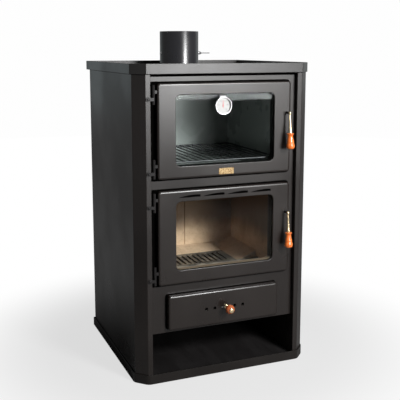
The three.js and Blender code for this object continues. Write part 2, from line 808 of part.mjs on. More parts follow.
const brickBottom = fireFloorTop + fitGap;

const sideBrick = () => block(
  [brickInner, brickInner + brickThickness], [brickFront, backBrickFront - fitGap],
  [brickBottom, brickBottom + brickHeight],
);

function backBrick() {
  const outer = brickInner + brickThickness;
  return block([backBrickJoint / 2, outer], [backBrickFront, backBrickFront + brickThickness],
    [brickBottom, brickBottom + brickHeight]);
}

// Floor brick beside the grate, sloping up to the side brick.
function floorBrick() {
  const inner = grateWidth / 2 + fitGap;
  const outer = brickInner - fitGap;
  const section = new THREE.Shape([
    new THREE.Vector2(inner, brickBottom), new THREE.Vector2(outer, brickBottom),
    new THREE.Vector2(outer, grateTop + floorBrickRise), new THREE.Vector2(inner, grateTop),
  ]);
  return frontSlab(section, grateFront - grateRim, backBrickFront - fitGap);
}

// Floor brick behind the grate, sloping up to the back bricks.
function rearBrick() {
  const half = grateWidth / 2;
  const front = grateBack + fitGap;
  const rear = backBrickFront - fitGap;
  const section = new THREE.Shape([
    new THREE.Vector2(front, brickBottom), new THREE.Vector2(rear, brickBottom),
    new THREE.Vector2(rear, grateTop + rearBrickRise), new THREE.Vector2(front, grateTop),
  ]);
  return lengthSlab(section, -half, half);
}

// Cast grate: bars with draft, so that ash falls free, inside a deeper rim with a rib across.
function grate() {
  const bottom = grateTop - grateHeight;
  const middle = (grateFront + grateBack) / 2;
  const frame = slab(roundedRect(grateWidth, grateDepth, grateCornerRadius, 0, middle), bottom, grateTop);
  const slotRing = (x, grow, z) => roundedRect(
    grateSlotWidth + grow, grateSlotLength + grow, (grateSlotWidth + grow) / 2 - 0.01, x, middle,
  ).getPoints(2).slice(0, -1).map((point) => new THREE.Vector3(point.x, point.y, z));
  const slots = Array.from({ length: grateSlotCount }, (_, k) => {
    const x = (k - (grateSlotCount - 1) / 2) * grateSlotPitch;
    return loft([slotRing(x, grateSlotDraft, bottom - past), slotRing(x, 0, grateTop + past)]);
  });
  const relief = (y0, y1) => block(
    [-grateWidth / 2 + grateRim, grateWidth / 2 - grateRim], [y0, y1], [bottom - past, bottom + grateRelief],
  );
  return cut(
    frame, ...slots,
    relief(grateFront + grateRim, middle - grateRib / 2), relief(middle + grateRib / 2, grateBack - grateRim),
  );
}

// Cast sill in front of the grate with two rounded ridges that keep logs off the glass.
function logGuard() {
  const half = brickInner - fitGap;
  const rear = grateFront - grateRim - fitGap;
  const front = rear - logGuardDepth;
  const ridgeHalf = logGuardRidgeWidth / 2;
  const section = new THREE.Shape();
  section.moveTo(front, brickBottom);
  section.lineTo(rear, brickBottom);
  section.lineTo(rear, grateTop);
  for (const ridge of [0, 1]) {
    const crest = rear - logGuardRidgeFromRear - ridge * logGuardRidgePitch;
    section.lineTo(crest + ridgeHalf, grateTop);
    section.quadraticCurveTo(crest, grateTop + 2 * logGuardRidgeHeight, crest - ridgeHalf, grateTop);
  }
  section.lineTo(front, grateTop);
  return lengthSlab(section, -half, half);
}

// ---------------------------------------------------------------- ash chamber and drawer
const drawerHalf = drawerWidth / 2;
const drawerOpening = {
  left: drawerOffset - drawerHalf + drawerOpeningBorder,
  right: drawerOffset + drawerHalf - drawerOpeningBorder,
  bottom: drawerBottom + drawerSill,
  top: drawerTop - drawerOpeningBorder,
};
const drawerFace = plateFront - drawerProud;
const knobX = drawerOffset + knobShift;
const knobZ = (drawerBottom + drawerTop) / 2 + knobRaise;
const slideFront = drawerFace + drawerSheet + fitGap;
const panFront = slideFront + airSlideThickness + fitGap;
const holeRow = airHoleOffsets.map((offset) => drawerOffset + offset);

// Open-topped chamber under the grate with two rails for the drawer.
function ashChamber() {
  const floor = plateBottom + nicheSheet + fitGap;
  const top = fireFloorBottom - fitGap;
  const left = drawerOpening.left - chamberSideGap;
  const right = drawerOpening.right + chamberSideGap;
  const rear = insideFront + panDepth + chamberRearGap;
  const shell = cut(
    block([left, right], [insideFront, rear], [floor, top]),
    block([left + ashSheet, right - ashSheet], [insideFront - past, rear - ashSheet],
      [floor + ashSheet, top + past]),
  );
  const rail = (x) => block([x - runnerRailWidth / 2, x + runnerRailWidth / 2],
    [insideFront, rear - ashSheet / 2], [floor + ashSheet / 2, drawerOpening.bottom]);
  const inset = panSideGap + runnerRailWidth;
  return join(shell, rail(drawerOpening.left + inset), rail(drawerOpening.right - inset));
}

function drawerPan() {
  const left = drawerOpening.left + panSideGap;
  const right = drawerOpening.right - panSideGap;
  const bottom = drawerOpening.bottom + fitGap;
  const top = drawerOpening.top - panTopGap;
  const rear = insideFront + panDepth;
  const windowHalf = airHoleOffsets.at(-1) + airHoleDiameter;
  return cut(
    block([left, right], [panFront, rear], [bottom, top]),
    block([left + panSheet, right - panSheet], [panFront + panSheet, rear - panSheet],
      [bottom + panSheet, top + past]),
    block([drawerOffset - windowHalf, drawerOffset + windowHalf],
      [panFront - past, panFront + panSheet + past], [knobZ - airHoleDiameter, knobZ + airHoleDiameter]),
  );
}

// Pressed front with a softly rounded edge, four air holes and the knob's slot.
function drawerFront() {
  const outline = {
    width: drawerWidth, height: drawerHeight, radius: drawerCornerRadius + drawerEdgeRadius,
    x: drawerOffset, z: (drawerBottom + drawerTop) / 2,
  };
  const back = plateFront - fitGap;
  const edge = roundEdge(drawerEdgeRadius);
  const outer = loft([
    ...edge.map(([inset, depth]) => frontRing(outline, inset, drawerFace + depth)),
    frontRing(outline, 0, back),
  ]);
  const inner = loft([
    ...roundEdge(drawerEdgeRadius - drawerSheet, 1).map(([inset, depth]) => frontRing(
      outline, drawerSheet + inset, drawerFace + drawerSheet + depth,
    )),
    frontRing(outline, drawerSheet, back + past),
  ]);
  const through = (geometry) => geometry.translate(0, drawerFace, knobZ);
  const holes = holeRow.map((x) => through(
    alongY(rod(airHoleDiameter / 2, -past, drawerSheet + past, smallTurnSegments)).translate(x, 0, 0),
  ));
  const slotWidth = airSlideTravel + knobStemDiameter + 2 * fitGap;
  const slotHeightClear = knobStemDiameter + 2 * fitGap;
  const slot = frontSlab(
    roundedRect(slotWidth, slotHeightClear, slotHeightClear / 2 - 0.01, knobX - airSlideTravel / 2, knobZ),
    drawerFace - past, drawerFace + drawerSheet + past,
  );
  return cut(outer, inner, slot, ...holes);
}

// Sliding plate behind the front: its holes line up with the front's when the knob is at rest.
function airSlide() {
  const half = airHoleOffsets.at(-1) + airSlideEnd;
  const plate = frontSlab(
    roundedRect(2 * half, airSlideHeight, airSlideCorner, drawerOffset, knobZ),
    slideFront, slideFront + airSlideThickness,
  );
  const hole = (x, radius) => alongY(rod(radius, -past, airSlideThickness + past, smallTurnSegments))
    .translate(x, slideFront, knobZ);
  return cut(plate, ...holeRow.map((x) => hole(x, airHoleDiameter / 2)),
    hole(knobX, knobStemDiameter / 2 + fitGap));
}

// A turned piece on the knob's axis; heights run outwards from the drawer's face.
const onKnobAxis = (profile) => alongY(turned(profile)).scale(1, -1, 1).translate(knobX, drawerFace, knobZ);

const ballRadius = knobBallDiameter / 2;
const ballCentre = knobFerruleLength + Math.sqrt(ballRadius ** 2 - (knobFerruleCup / 2) ** 2);

function knobFerrule() {
  const [stem, flange] = [knobStemDiameter / 2, knobFerruleDiameter / 2];
  const [neck, cup] = [knobFerruleNeck / 2, knobFerruleCup / 2];
  const inside = drawerFace - slideFront - airSlideThickness;
  const end = knobFerruleLength - fitGap;
  return onKnobAxis([
    [0, inside], [stem, inside], [stem, fitGap], [flange, fitGap], [flange, knobFerruleFlange],
    [neck, 2 * knobFerruleFlange], [neck, end - knobFerruleFlange], [cup, end], [0, end],
  ]);
}

// Wooden ball, flattened where the ferrule and the cap seat.
function knobBall() {
  const low = Math.asin(knobFerruleCup / 2 / ballRadius);
  const high = Math.PI - Math.asin(knobCapDiameter / 2 / ballRadius);
  const arc = Array.from({ length: ballSteps + 1 }, (_, k) => {
    const angle = low + ((high - low) * k) / ballSteps;
    return [ballRadius * Math.sin(angle), ballCentre - ballRadius * Math.cos(angle)];
  });
  return onKnobAxis([[0, arc[0][1]], ...arc, [0, arc.at(-1)[1]]]);
}

function knobCap() {
  const radius = knobCapDiameter / 2;
  const seat = ballCentre + Math.sqrt(ballRadius ** 2 - radius ** 2) + fitGap;
  const rise = knobCapThickness - knobCapEdge;
  const crown = Array.from({ length: arcSegments }, (_, k) => {
    const angle = (k / arcSegments) * (Math.PI / 2);
    return [radius * Math.cos(angle), seat + knobCapEdge + rise * Math.sin(angle)];
  });
  return onKnobAxis([[0, seat], [radius, seat], ...crown, [0, seat + knobCapThickness]]);
}

// ---------------------------------------------------------------- doors
// A door's window, in the frame of the stove's front.
function windowOf(door) {
  const bottom = door.bottom + door.windowBottomBorder;
  const top = door.top - windowTopBorder;
  return {
    width: windowWidth, height: top - bottom, radius: windowCornerRadius,
    x: doorMiddle, z: (top + bottom) / 2,
  };
}

// A louvre-like slot: straight lower edge, bowed upper edge, blunt right end and pointed left end.
function airSlot(right, z) {
  const shape = new THREE.Shape();
  shape.moveTo(right - slotLength, z);
  shape.lineTo(right, z);
  shape.lineTo(right, z + slotBluntHeight);
  shape.quadraticCurveTo(right - slotLength / 3, z + slotBluntHeight + slotCrown,
    right - slotLength, z + slotTipHeight);
  shape.closePath();
  return frontSlab(shape, doorFront - past, doorFront + doorSheet + past);
}

// Pressed skin: rounded front edge, drawn-in window lip and open back.
function doorSkin(door) {
  const outline = {
    width: doorWidth, height: door.top - door.bottom, radius: doorCornerRadius,
    x: doorMiddle, z: (door.top + door.bottom) / 2,
  };
  const edge = roundEdge(doorEdgeRadius);
  const inside = doorEdgeRadius - doorSheet;
  const outer = loft([
    ...edge.map(([inset, depth]) => frontRing(outline, inset, doorFront + depth)),
    frontRing(outline, 0, doorBack),
  ]);
  const inner = loft([
    ...roundEdge(inside, 1).map(([inset, depth]) => frontRing(
      outline, doorSheet + inset, doorFront + doorSheet + depth,
    )),
    frontRing(outline, doorSheet, doorBack + past),
  ]);
  const hole = windowOf(door);
  const opening = loft([
    frontRing(hole, -windowLipRadius - past, doorFront - past),
    frontRing(hole, 0, doorFront + windowLipRadius),
    frontRing(hole, 0, doorFront + doorSheet + past),
  ]);
  const bore = alongY(rod(handleShaftDiameter / 2 + handleShaftClearance, -past, doorSheet + past))
    .translate(handleX, doorFront, door.pivotZ);
  const slots = Array.from({ length: door.slots }, (_, k) => (
    airSlot(doorMiddle + (k - (door.slots - 1) / 2) * slotPitch + slotLength / 2,
      door.top - windowTopBorder + slotAboveWindow)
  ));
  return cut(outer, inner, opening, bore, ...slots);
}

const glassFront = doorFront + doorSheet + fitGap;
const innerFrameFront = glassFront + glassThickness + fitGap;

const ringSlab = (outer, inner, from, to) => cut(
  loft([frontRing(outer, 0, from), frontRing(outer, 0, to)]),
  loft([frontRing(inner, 0, from - past), frontRing(inner, 0, to + past)]),
);

const grown = (ring, margin) => ({
  ...ring, width: ring.width + 2 * margin, height: ring.height + 2 * margin, radius: ring.radius,
});

function doorGlass(door) {
  const pane = grown(windowOf(door), glassOverlap);
  return loft([frontRing(pane, 0, glassFront), frontRing(pane, 0, glassFront + glassThickness)]);
}

// Retaining frame that clamps the glass; its border shows just inside the window.
function doorInnerFrame(door) {
  const outer = grown(windowOf(door), innerFrameOverlap - innerFrameBorder);
  return ringSlab(outer, grown(windowOf(door), -innerFrameBorder), innerFrameFront,
    innerFrameFront + innerFrameThickness);
}

// Rope seal on the frame's back, closing on the front plate round the opening.
function doorSeal(door) {
  const line = grown(windowOf(door), sealOverlap);
  const radius = sealDiameter / 2;
  const centreY = innerFrameFront + innerFrameThickness + fitGap + radius;
  const rings = Array.from({ length: wireSides }, (_, k) => {
    const angle = (k / wireSides) * 2 * Math.PI;
    return frontRing(line, radius * Math.cos(angle), centreY + radius * Math.sin(angle));
  });
  return loft(rings, true);
}

// Lower half of a lift-off hinge: bolted eye on the flange, strap, barrel and pin.
function frameKnuckle(bottom) {
  const [radius, pin] = [knuckleDiameter / 2, hingePinDiameter / 2];
  const shoulder = bottom + knuckleLength;
  const pinTop = shoulder + hingePinHeight;
  const eyeX = -flangeInner - hingeEyeFromFlangeEdge;
  const eyeZ = bottom + hingeEyeRise;
  const eyeBack = flangeY - fitGap;
  const barrel = turned([
    [0, bottom], [radius - knuckleBevel, bottom], [radius, bottom + knuckleBevel], [radius, shoulder],
    [pin, shoulder], [pin, pinTop - knuckleBevel], [pin - knuckleBevel, pinTop], [0, pinTop],
  ], smallTurnSegments).translate(hingeX, hingeY, 0);
  const onFlange = (geometry) => alongY(geometry).translate(eyeX, eyeBack, eyeZ);
  const eye = onFlange(rod(hingeEyeDiameter / 2, -hingeEyeThickness, 0, smallTurnSegments));
  const boltTop = -hingeEyeThickness - hingeBoltHeight;
  const bolt = onFlange(turned([
    [0, -hingeEyeThickness / 2], [hingeBoltDiameter / 2, -hingeEyeThickness / 2],
    [hingeBoltDiameter / 2, boltTop + hingeBoltCrown], [hingeBoltFlat / 2, boltTop], [0, boltTop],
  ], smallTurnSegments));
  const strap = block([eyeX, hingeX], [eyeBack - hingeEyeThickness, eyeBack],
    [eyeZ - hingeStrapHeight / 2, eyeZ + hingeStrapHeight / 2]);
  return join(barrel, eye, bolt, strap);
}

// Upper half: a barrel bored for the pin, with a tab to the door's edge.
function doorKnuckle(bottom) {
  const radius = knuckleDiameter / 2;
  const foot = bottom + knuckleLength + fitGap;
  const top = bottom + 2 * knuckleLength;
  const bore = hingePinDiameter / 2 + hingePinClearance;
  const depth = foot + hingePinHeight + hingePinEndGap;
  const barrel = turned([
    [bore, foot], [radius, foot], [radius, top - knuckleBevel], [radius - knuckleBevel, top], [0, top],
    [0, depth], [bore, depth], [bore, foot],
  ], smallTurnSegments).translate(hingeX, hingeY, 0);
  const tabZ = top - hingeTabDrop;
  const tab = block([hingeX + (radius + bore) / 2, doorLeft - fitGap],
    [hingeY - hingeTabThickness / 2, hingeY + hingeTabThickness / 2],
    [tabZ - hingeStrapHeight / 2, tabZ + hingeStrapHeight / 2]);
  return join(barrel, tab);
}

// The parts of a handle hang from its pivot, leaning outwards towards the grip.
function hang(geometry, door) {
  const lean = THREE.MathUtils.degToRad(handleLean);
  return geometry.rotateX(-lean).translate(handleX, doorFront - handleStandoff, door.pivotZ);
}

// Brass stem with a ball end on a shaft that runs through the door to the latch tongue.
function handleStem(door) {
  const [top, foot] = [stemTopDiameter / 2, stemFootDiameter / 2];
  const ball = top * 1.35;
  const stem = hang(turned([
    [0, ball], [ball * 0.7, ball * 0.7], [ball, 0], [ball * 0.8, -ball * 0.75], [top, -ball * 1.5],
    [top, -stemLength * 0.4], [foot * 0.8, -stemLength * 0.75], [foot, -stemLength * 0.93],
    [foot, -stemLength], [0, -stemLength],
  ]), door);
  const shaft = alongY(rod(handleShaftDiameter / 2, doorFront - handleStandoff, tongueBack))
    .translate(handleX, 0, door.pivotZ);
  return join(stem, shaft);
}

// Turned wooden grip: collar, waist and a full bulb, through a spline.
function handleGrip(door) {
  const [collar, waist, bulb] = [gripCollarDiameter / 2, gripWaistDiameter / 2, gripBulbDiameter / 2];
  const along = (share) => -stemLength - fitGap - share * gripLength;
  const keys = [
    [collar * 0.86, 0], [collar, 0.03], [collar, 0.09], [waist, 0.16], [waist * 1.02, 0.3],
    [bulb * 0.86, 0.58], [bulb, 0.78], [bulb * 0.86, 0.92], [bulb * 0.5, 0.99],
  ].map(([radius, share]) => new THREE.Vector2(radius, along(share)));
  const curve = new THREE.SplineCurve(keys).getPoints(gripSteps).map((point) => [point.x, point.y]);
  return hang(turned([[0, along(0)], ...curve, [0, along(1)]]), door);
}

// Latch tongue on the shaft's rear end, in the door's hollow, bearing on the strike.
function latchTongue(door) {
  const from = tongueBack - tongueThickness;
  const half = tongueWidth / 2;
  const disc = alongY(rod(half, from, tongueBack, smallTurnSegments));
  const bar = join(
    block([handleX - half, handleX + half], [from, tongueBack],
      [door.pivotZ - tongueLength + half, door.pivotZ]),
    disc.clone().translate(handleX, 0, door.pivotZ),
    disc.clone().translate(handleX, 0, door.pivotZ - tongueLength + half),
  );
  const clear = handleShaftDiameter / 2 + fitGap;
  const bore = alongY(rod(clear, from - past, tongueBack + past, smallTurnSegments));
  return cut(bar, bore.translate(handleX, 0, door.pivotZ));
}

const doors = [
  {
    name: 'oven', bottom: ovenDoorBottom, top: ovenDoorTop, slots: 0,
    windowBottomBorder: ovenWindowBottomBorder, pivotZ: ovenDoorTop - ovenHandleDrop,
  },
  {
    name: 'fire', bottom: fireDoorBottom, top: fireDoorTop, slots: slotCount,
    windowBottomBorder: fireWindowBottomBorder, pivotZ: fireDoorTop - fireHandleDrop,
  },
];

function buildDoor(door) {
  const { name } = door;
  place(`${name}_door_skin`, 'paint', doorSkin(door));
  place(`${name}_door_glass`, 'glass', doorGlass(door));
  place(`${name}_door_inner_frame`, 'darkPaint', doorInnerFrame(door));
  place(`${name}_door_seal`, 'rope', doorSeal(door));
  place(`${name}_handle_stem`, 'brass', handleStem(door));
  place(`${name}_handle_grip`, 'grip', handleGrip(door));
  place(`${name}_latch_tongue`, 'steel', latchTongue(door));
  const hingeStarts = {
    upper: door.top - hingeFromDoorEnd - 2 * knuckleLength,
    lower: door.bottom + hingeFromDoorEnd,
  };
  for (const [level, start] of Object.entries(hingeStarts)) {
    place(`${name}_frame_hinge_${level}`, 'darkPaint', frameKnuckle(start));
    place(`${name}_door_hinge_${level}`, 'darkPaint', doorKnuckle(start));
  }
}

// ---------------------------------------------------------------- thermometer and nameplate
const gaugeX = doorMiddle + gaugeFromCentre;
const gaugeFace = doorFront - gaugeProud;
const gaugeZ = ovenDoorTop - windowTopBorder - gaugeBelowWindowTop;
const gaugeInner = gaugeDiameter / 2 - gaugeBezel;
const gaugeFloor = gaugeCaseDepth - gaugeWall; // dial seat behind the bezel's face
const onGaugeAxis = (geometry) => alongY(geometry).translate(gaugeX, gaugeFace, gaugeZ);

// Steel cup with a rolled bezel and a flared tab that hooks under the window's upper edge.
function gaugeCase() {
  const outer = gaugeDiameter / 2;
  const wall = outer - gaugeStep;
  const cup = onGaugeAxis(turned([
    [0, gaugeCaseDepth], [wall - gaugeStep, gaugeCaseDepth], [wall, gaugeCaseDepth - gaugeStep],
    [wall, gaugeBezelDepth], [outer, gaugeBezelDepth - gaugeBezelRoll], [outer, gaugeBezelRoll],
    [outer - gaugeBezelRoll, 0], [gaugeInner + gaugeBezelRoll, 0], [gaugeInner, gaugeBezelRoll],
    [gaugeInner, gaugeFloor], [0, gaugeFloor],
  ], gaugeSegments));
  const hookTop = ovenDoorTop - windowTopBorder - fitGap;
  const rear = gaugeFace + gaugeCaseDepth;
  const tip = glassFront - fitGap;
  const seat = rear - gaugeTabThickness / 2;
  const section = foldedSheet([
    [seat, gaugeZ], [seat, hookTop - gaugeTabBendDrop],
    [rear + gaugeTabBendDepth, hookTop - gaugeHookRise], [tip, hookTop],
  ], gaugeTabThickness);
  const strip = lengthSlab(section, gaugeX - gaugeTabWidth / 2, gaugeX + gaugeTabWidth / 2);
  const cheek = (side) => {
    const wide = gaugeX + side * (gaugeTabWidth / 2 + past);
    const narrow = gaugeX + side * (gaugeTabNeck / 2);
    const narrowTop = hookTop - gaugeTabFlareDrop;
    const flare = new THREE.Shape([
      new THREE.Vector2(wide, narrowTop + gaugeTabFlareHeight), new THREE.Vector2(narrow, narrowTop),
      new THREE.Vector2(narrow, gaugeZ - past), new THREE.Vector2(wide, gaugeZ - past),
    ]);
    return frontSlab(flare, gaugeFace - past, tip + past);
  };
  return join(cup, cut(strip, cheek(-1), cheek(1)));
}

const gaugeDial = () => onGaugeAxis(
  rod(gaugeInner - fitGap, gaugeFloor - fitGap - gaugeDialThickness, gaugeFloor - fitGap, gaugeSegments),
);

// Pointer on a spindle, straight up at rest.
function gaugePointer() {
  const back = gaugeFloor - 2 * fitGap - gaugeDialThickness;
  const front = back - gaugePointerThickness;
  const needle = frontSlab(new THREE.Shape([
    new THREE.Vector2(-gaugePointerWidth / 2, -gaugePointerLength / 3),
    new THREE.Vector2(gaugePointerWidth / 2, -gaugePointerLength / 3),
    new THREE.Vector2(gaugePointerWidth / 4, gaugePointerLength),
    new THREE.Vector2(-gaugePointerWidth / 4, gaugePointerLength),
  ]), front, back);
  const boss = alongY(rod(gaugeSpindleDiameter / 2, front - gaugeSpindleProud, back, smallTurnSegments));
  return join(needle, boss).translate(gaugeX, gaugeFace, gaugeZ);
}

const gaugeLens = () => onGaugeAxis(
  rod(gaugeInner - fitGap, gaugeLensInset, gaugeLensInset + gaugeLensThickness, gaugeSegments),
);

function nameplate() {
  const z = ovenDoorBottom + ovenWindowBottomBorder / 2 - nameplateDrop;
  const back = doorFront - fitGap;
  return frontSlab(roundedRect(nameplateWidth, nameplateHeight, nameplateCorner, doorMiddle, z),
    back - nameplateThickness, back);
}

// ---------------------------------------------------------------- the stove
place('base_tray', 'darkPaint', baseTray());
place('niche_floor', 'darkPaint', nicheFloor());
place('niche_liner', 'darkPaint', nicheLiner());
place('side_panel_right', 'paint', sidePanel());
place('side_panel_left', 'paint', mirrored(sidePanel()));
place('back_panel', 'paint', backPanel());
place('front_plate', 'paint', frontPlate());
place('rim_frame', 'paint', rimFrame());
place('cooktop', 'iron', cooktop());
place('flue_collar', 'darkSteel', flueCollar());
place('damper_axle', 'steel', damperAxle());
place('damper_disc', 'iron', damperDisc());
place('oven_box', 'darkSteel', ovenBox());
place('oven_rack', 'steel', ovenRack());
place('smoke_jacket', 'darkSteel', smokeJacket());
place('firebox_shell', 'darkSteel', fireboxShell());
place('firebox_throat', 'iron', fireboxThroat());
place('firebrick_side_right', 'brick', sideBrick());
place('firebrick_side_left', 'brick', mirrored(sideBrick()));
place('firebrick_back_right', 'brick', backBrick());
place('firebrick_back_left', 'brick', mirrored(backBrick()));
place('firebrick_floor_right', 'brick', floorBrick());
place('firebrick_floor_left', 'brick', mirrored(floorBrick()));
place('firebrick_floor_rear', 'brick', rearBrick());
place('grate', 'iron', grate());
place('log_guard', 'iron', logGuard());
place('ash_chamber', 'darkSteel', ashChamber());
place('ash_drawer_pan', 'darkSteel', drawerPan());
place('ash_drawer_front', 'paint', drawerFront());
place('air_slide', 'steel', airSlide());
place('air_knob_ferrule', 'brass', knobFerrule());
place('air_knob_ball', 'ball', knobBall());
place('air_knob_cap', 'brass', knobCap());
doors.forEach(buildDoor);
place('thermometer_case', 'steel', gaugeCase());
place('thermometer_dial', 'dial', gaugeDial());
place('thermometer_pointer', 'pointer', gaugePointer());
place('thermometer_lens', 'glass', gaugeLens());
place('nameplate', 'brass', nameplate());

export default stove;
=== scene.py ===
"""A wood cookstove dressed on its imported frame. Metres, +Z up, the front faces -Y."""

import math

import bmesh
import bpy
import numpy as np
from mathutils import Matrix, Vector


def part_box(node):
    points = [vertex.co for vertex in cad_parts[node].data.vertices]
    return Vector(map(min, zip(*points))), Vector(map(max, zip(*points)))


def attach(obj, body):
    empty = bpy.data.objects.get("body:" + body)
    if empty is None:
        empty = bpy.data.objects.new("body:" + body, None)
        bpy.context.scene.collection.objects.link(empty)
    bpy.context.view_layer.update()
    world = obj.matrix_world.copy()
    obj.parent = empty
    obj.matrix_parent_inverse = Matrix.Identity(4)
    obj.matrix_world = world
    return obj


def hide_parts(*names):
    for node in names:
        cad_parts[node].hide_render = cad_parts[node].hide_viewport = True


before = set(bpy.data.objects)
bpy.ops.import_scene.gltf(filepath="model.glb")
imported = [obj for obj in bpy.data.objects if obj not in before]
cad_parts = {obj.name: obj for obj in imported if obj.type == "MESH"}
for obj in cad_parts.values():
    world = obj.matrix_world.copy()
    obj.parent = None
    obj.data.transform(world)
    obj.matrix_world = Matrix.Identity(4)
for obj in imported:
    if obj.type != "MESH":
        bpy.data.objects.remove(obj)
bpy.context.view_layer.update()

# ------------------------------------------------------------------ studio
# A pale floor in a white room, seen from the left and a little above the oven door. A small key
# lamp high on the right reaches into both windows, a large soft one under it is mirrored in the
# doors' paint, and weak lamps and cards light the left side, the top and the back.
camera_place, camera_tilt, camera_turn = (-0.8678, -2.1914, 0.9833), 8.736, 22.08
sensor_width, picture_width, focal_pixels = 36, 400, 725.13
camera = bpy.data.objects.new("camera", bpy.data.cameras.new("camera"))
camera.location = camera_place
camera.rotation_euler = (math.radians(90 - camera_tilt), 0, math.radians(-camera_turn))
camera.data.sensor_width = sensor_width
camera.data.lens = focal_pixels / picture_width * sensor_width
camera.data.shift_y = -0.1
bpy.context.scene.collection.objects.link(camera)
bpy.context.scene.camera = camera
bpy.context.scene.view_settings.view_transform = "Standard"

aim_height = 0.6


def lamp(name, azimuth, elevation, distance, size, watts, colour=(1, 1, 1)):
    """An area lamp (width, height) aimed at the stove: azimuth 0 is the front, 90 the right."""
    turn, rise = math.radians(azimuth), math.radians(elevation)
    light = bpy.data.lights.new(name, "AREA")
    light.shape, light.energy, light.color = "RECTANGLE", watts, colour
    light.size, light.size_y = size
    holder = bpy.data.objects.new(name, light)
    holder.location = (
        distance * math.sin(turn) * math.cos(rise),
        -distance * math.cos(turn) * math.cos(rise),
        aim_height + distance * math.sin(rise),
    )
    holder.rotation_euler = (math.pi / 2 - rise, 0, turn)
    bpy.context.scene.collection.objects.link(holder)


lamp("key", 18, 24, 2.7, (0.45, 0.45), 84)
lamp("soft_front", 18.1, 7.5, 2.75, (0.98, 0.60), 39)
lamp("low_card", 16.7, -1.9, 2.716, (0.34, 0.34), 0.35)
lamp("left_card", -66, -4, 2.5, (0.7, 0.9), 0.8)
lamp("top_soft", 12, 50, 2.2, (0.9, 0.9), 6)
lamp("back_left", -158, 12, 2.4, (1.0, 1.0), 0.7, (0.72, 0.95, 1.0))
lamp("back_right", 118, 14, 2.4, (1.0, 1.0), 1.6, (0.90, 1.0, 1.0))


class Field:
    """A value that varies over a surface. Arithmetic on it adds Math nodes to its tree."""

    def __init__(self, shading, socket):
        self.shading, self.socket = shading, socket

    def maths(self, operation, first, second):
        return self.shading.node("ShaderNodeMath", {"operation": operation}, {0: first, 1: second})

    def __add__(self, other):
        return self.maths("ADD", self, other)

    def __mul__(self, other):
        return self.maths("MULTIPLY", self, other)

    __radd__ = __add__
    __rmul__ = __mul__


class Shading:
    """A node tree, with one way to make a node and one to give a socket its value or link."""

    def __init__(self, tree):
        self.tree = tree

    def feed(self, socket, value):
        if isinstance(value, Field):
            self.tree.links.new(value.socket, socket)
        elif socket.type == "RGBA":
            socket.default_value = (*value, 1.0)[:4]
        else:
            socket.default_value = value

    def node(self, kind, settings, inputs, output=0):
        """A new node: its settings first, then the values or links of its sockets."""
        made = self.tree.nodes.new(kind)
        for name, value in settings.items():
            setattr(made, name, value)
        for name, value in inputs.items():
            self.feed(made.inputs[name], value)
        return Field(self, made.outputs[output])


class Look(Shading):
    """A finish: a material round one Principled shader, with its pattern on Object coordinates."""

    def __init__(self, name, **sockets):
        self.material = bpy.data.materials.new(name)
        self.material.use_nodes = True
        super().__init__(self.material.node_tree)
        self.shader = self.tree.nodes["Principled BSDF"]
        self.own = Field(self, self.shader.outputs[0])
        self.coordinates = self.node("ShaderNodeTexCoord", {}, {}, "Object")
        self.set(**sockets)

    def set(self, **sockets):
        for name, value in sockets.items():
            self.feed(self.shader.inputs[name.replace("_", " ")], value)

    def noise(self, scale, detail, stretch=(1, 1, 1)):
        place = self.node("ShaderNodeMapping", {}, {"Vector": self.coordinates, "Scale": stretch})
        return self.node("ShaderNodeTexNoise", {}, {"Vector": place, "Scale": scale, "Detail": detail})

    def between(self, value, low, high, out_low=0.0, out_high=1.0):
        """Smooth rise from out_low to out_high while the value goes from low to high."""
        return self.node("ShaderNodeMapRange", {"interpolation_type": "SMOOTHSTEP"}, {
            0: value, 1: low, 2: high, 3: out_low, 4: out_high,
        })

    def mix(self, share, first, second):
        return self.node("ShaderNodeMix", {"data_type": "RGBA"}, {0: share, 6: first, 7: second}, 2)

    def axis(self, letter):
        return self.node("ShaderNodeSeparateXYZ", {}, {0: self.coordinates}, letter)

    def grain(self, height, distance, strength):
        bump = self.node("ShaderNodeBump", {}, {
            "Height": height, "Distance": distance, "Strength": strength,
        })
        self.set(Normal=bump)

    def blend(self, share, first, second):
        """Ends the look in a mix of two shaders in place of its own."""
        mixed = self.node("ShaderNodeMixShader", {}, {0: share, 1: first, 2: second})
        self.feed(self.tree.nodes["Material Output"].inputs["Surface"], mixed)


def grid_faces(rows, columns, wrap_rows, wrap_columns, start):
    """Quads of a grid: each joins a point to its neighbours along both parameters."""
    row = np.arange(rows if wrap_rows else rows - 1)[:, None]
    column = np.arange(columns if wrap_columns else columns - 1)[None, :]
    below, beside = (row + 1) % rows, (column + 1) % columns
    corners = (row * columns + column, row * columns + beside,
               below * columns + beside, below * columns + column)
    return start + np.stack(np.broadcast_arrays(*corners), axis=-1).reshape(-1, 4)


crease_angle = 32


def surface(name, grids, look, sharp=crease_angle):
    """A mesh of (points, wrap_rows, wrap_columns) grids: doubles merged, faces outwards, smooth."""
    points, faces, start = [], [], 0
    for grid, wrap_rows, wrap_columns in grids:
        rows, columns = grid.shape[:2]
        points.append(grid.reshape(-1, 3))
        faces.append(grid_faces(rows, columns, wrap_rows, wrap_columns, start))
        start += rows * columns
    mesh = bpy.data.meshes.new(name)
    mesh.from_pydata(np.concatenate(points), [], np.concatenate(faces).tolist())
    work = bmesh.new()
    work.from_mesh(mesh)
    bmesh.ops.remove_doubles(work, verts=work.verts, dist=1e-6)
    bmesh.ops.dissolve_degenerate(work, edges=work.edges, dist=1e-7)
    bmesh.ops.recalc_face_normals(work, faces=work.faces)
    work.to_mesh(mesh)
    work.free()
    mesh.shade_smooth()
    mesh.set_sharp_from_angle(angle=math.radians(sharp))
    mesh.materials.append(look.material)
    piece = bpy.data.objects.new(name, mesh)
    bpy.context.scene.collection.objects.link(piece)
    return piece


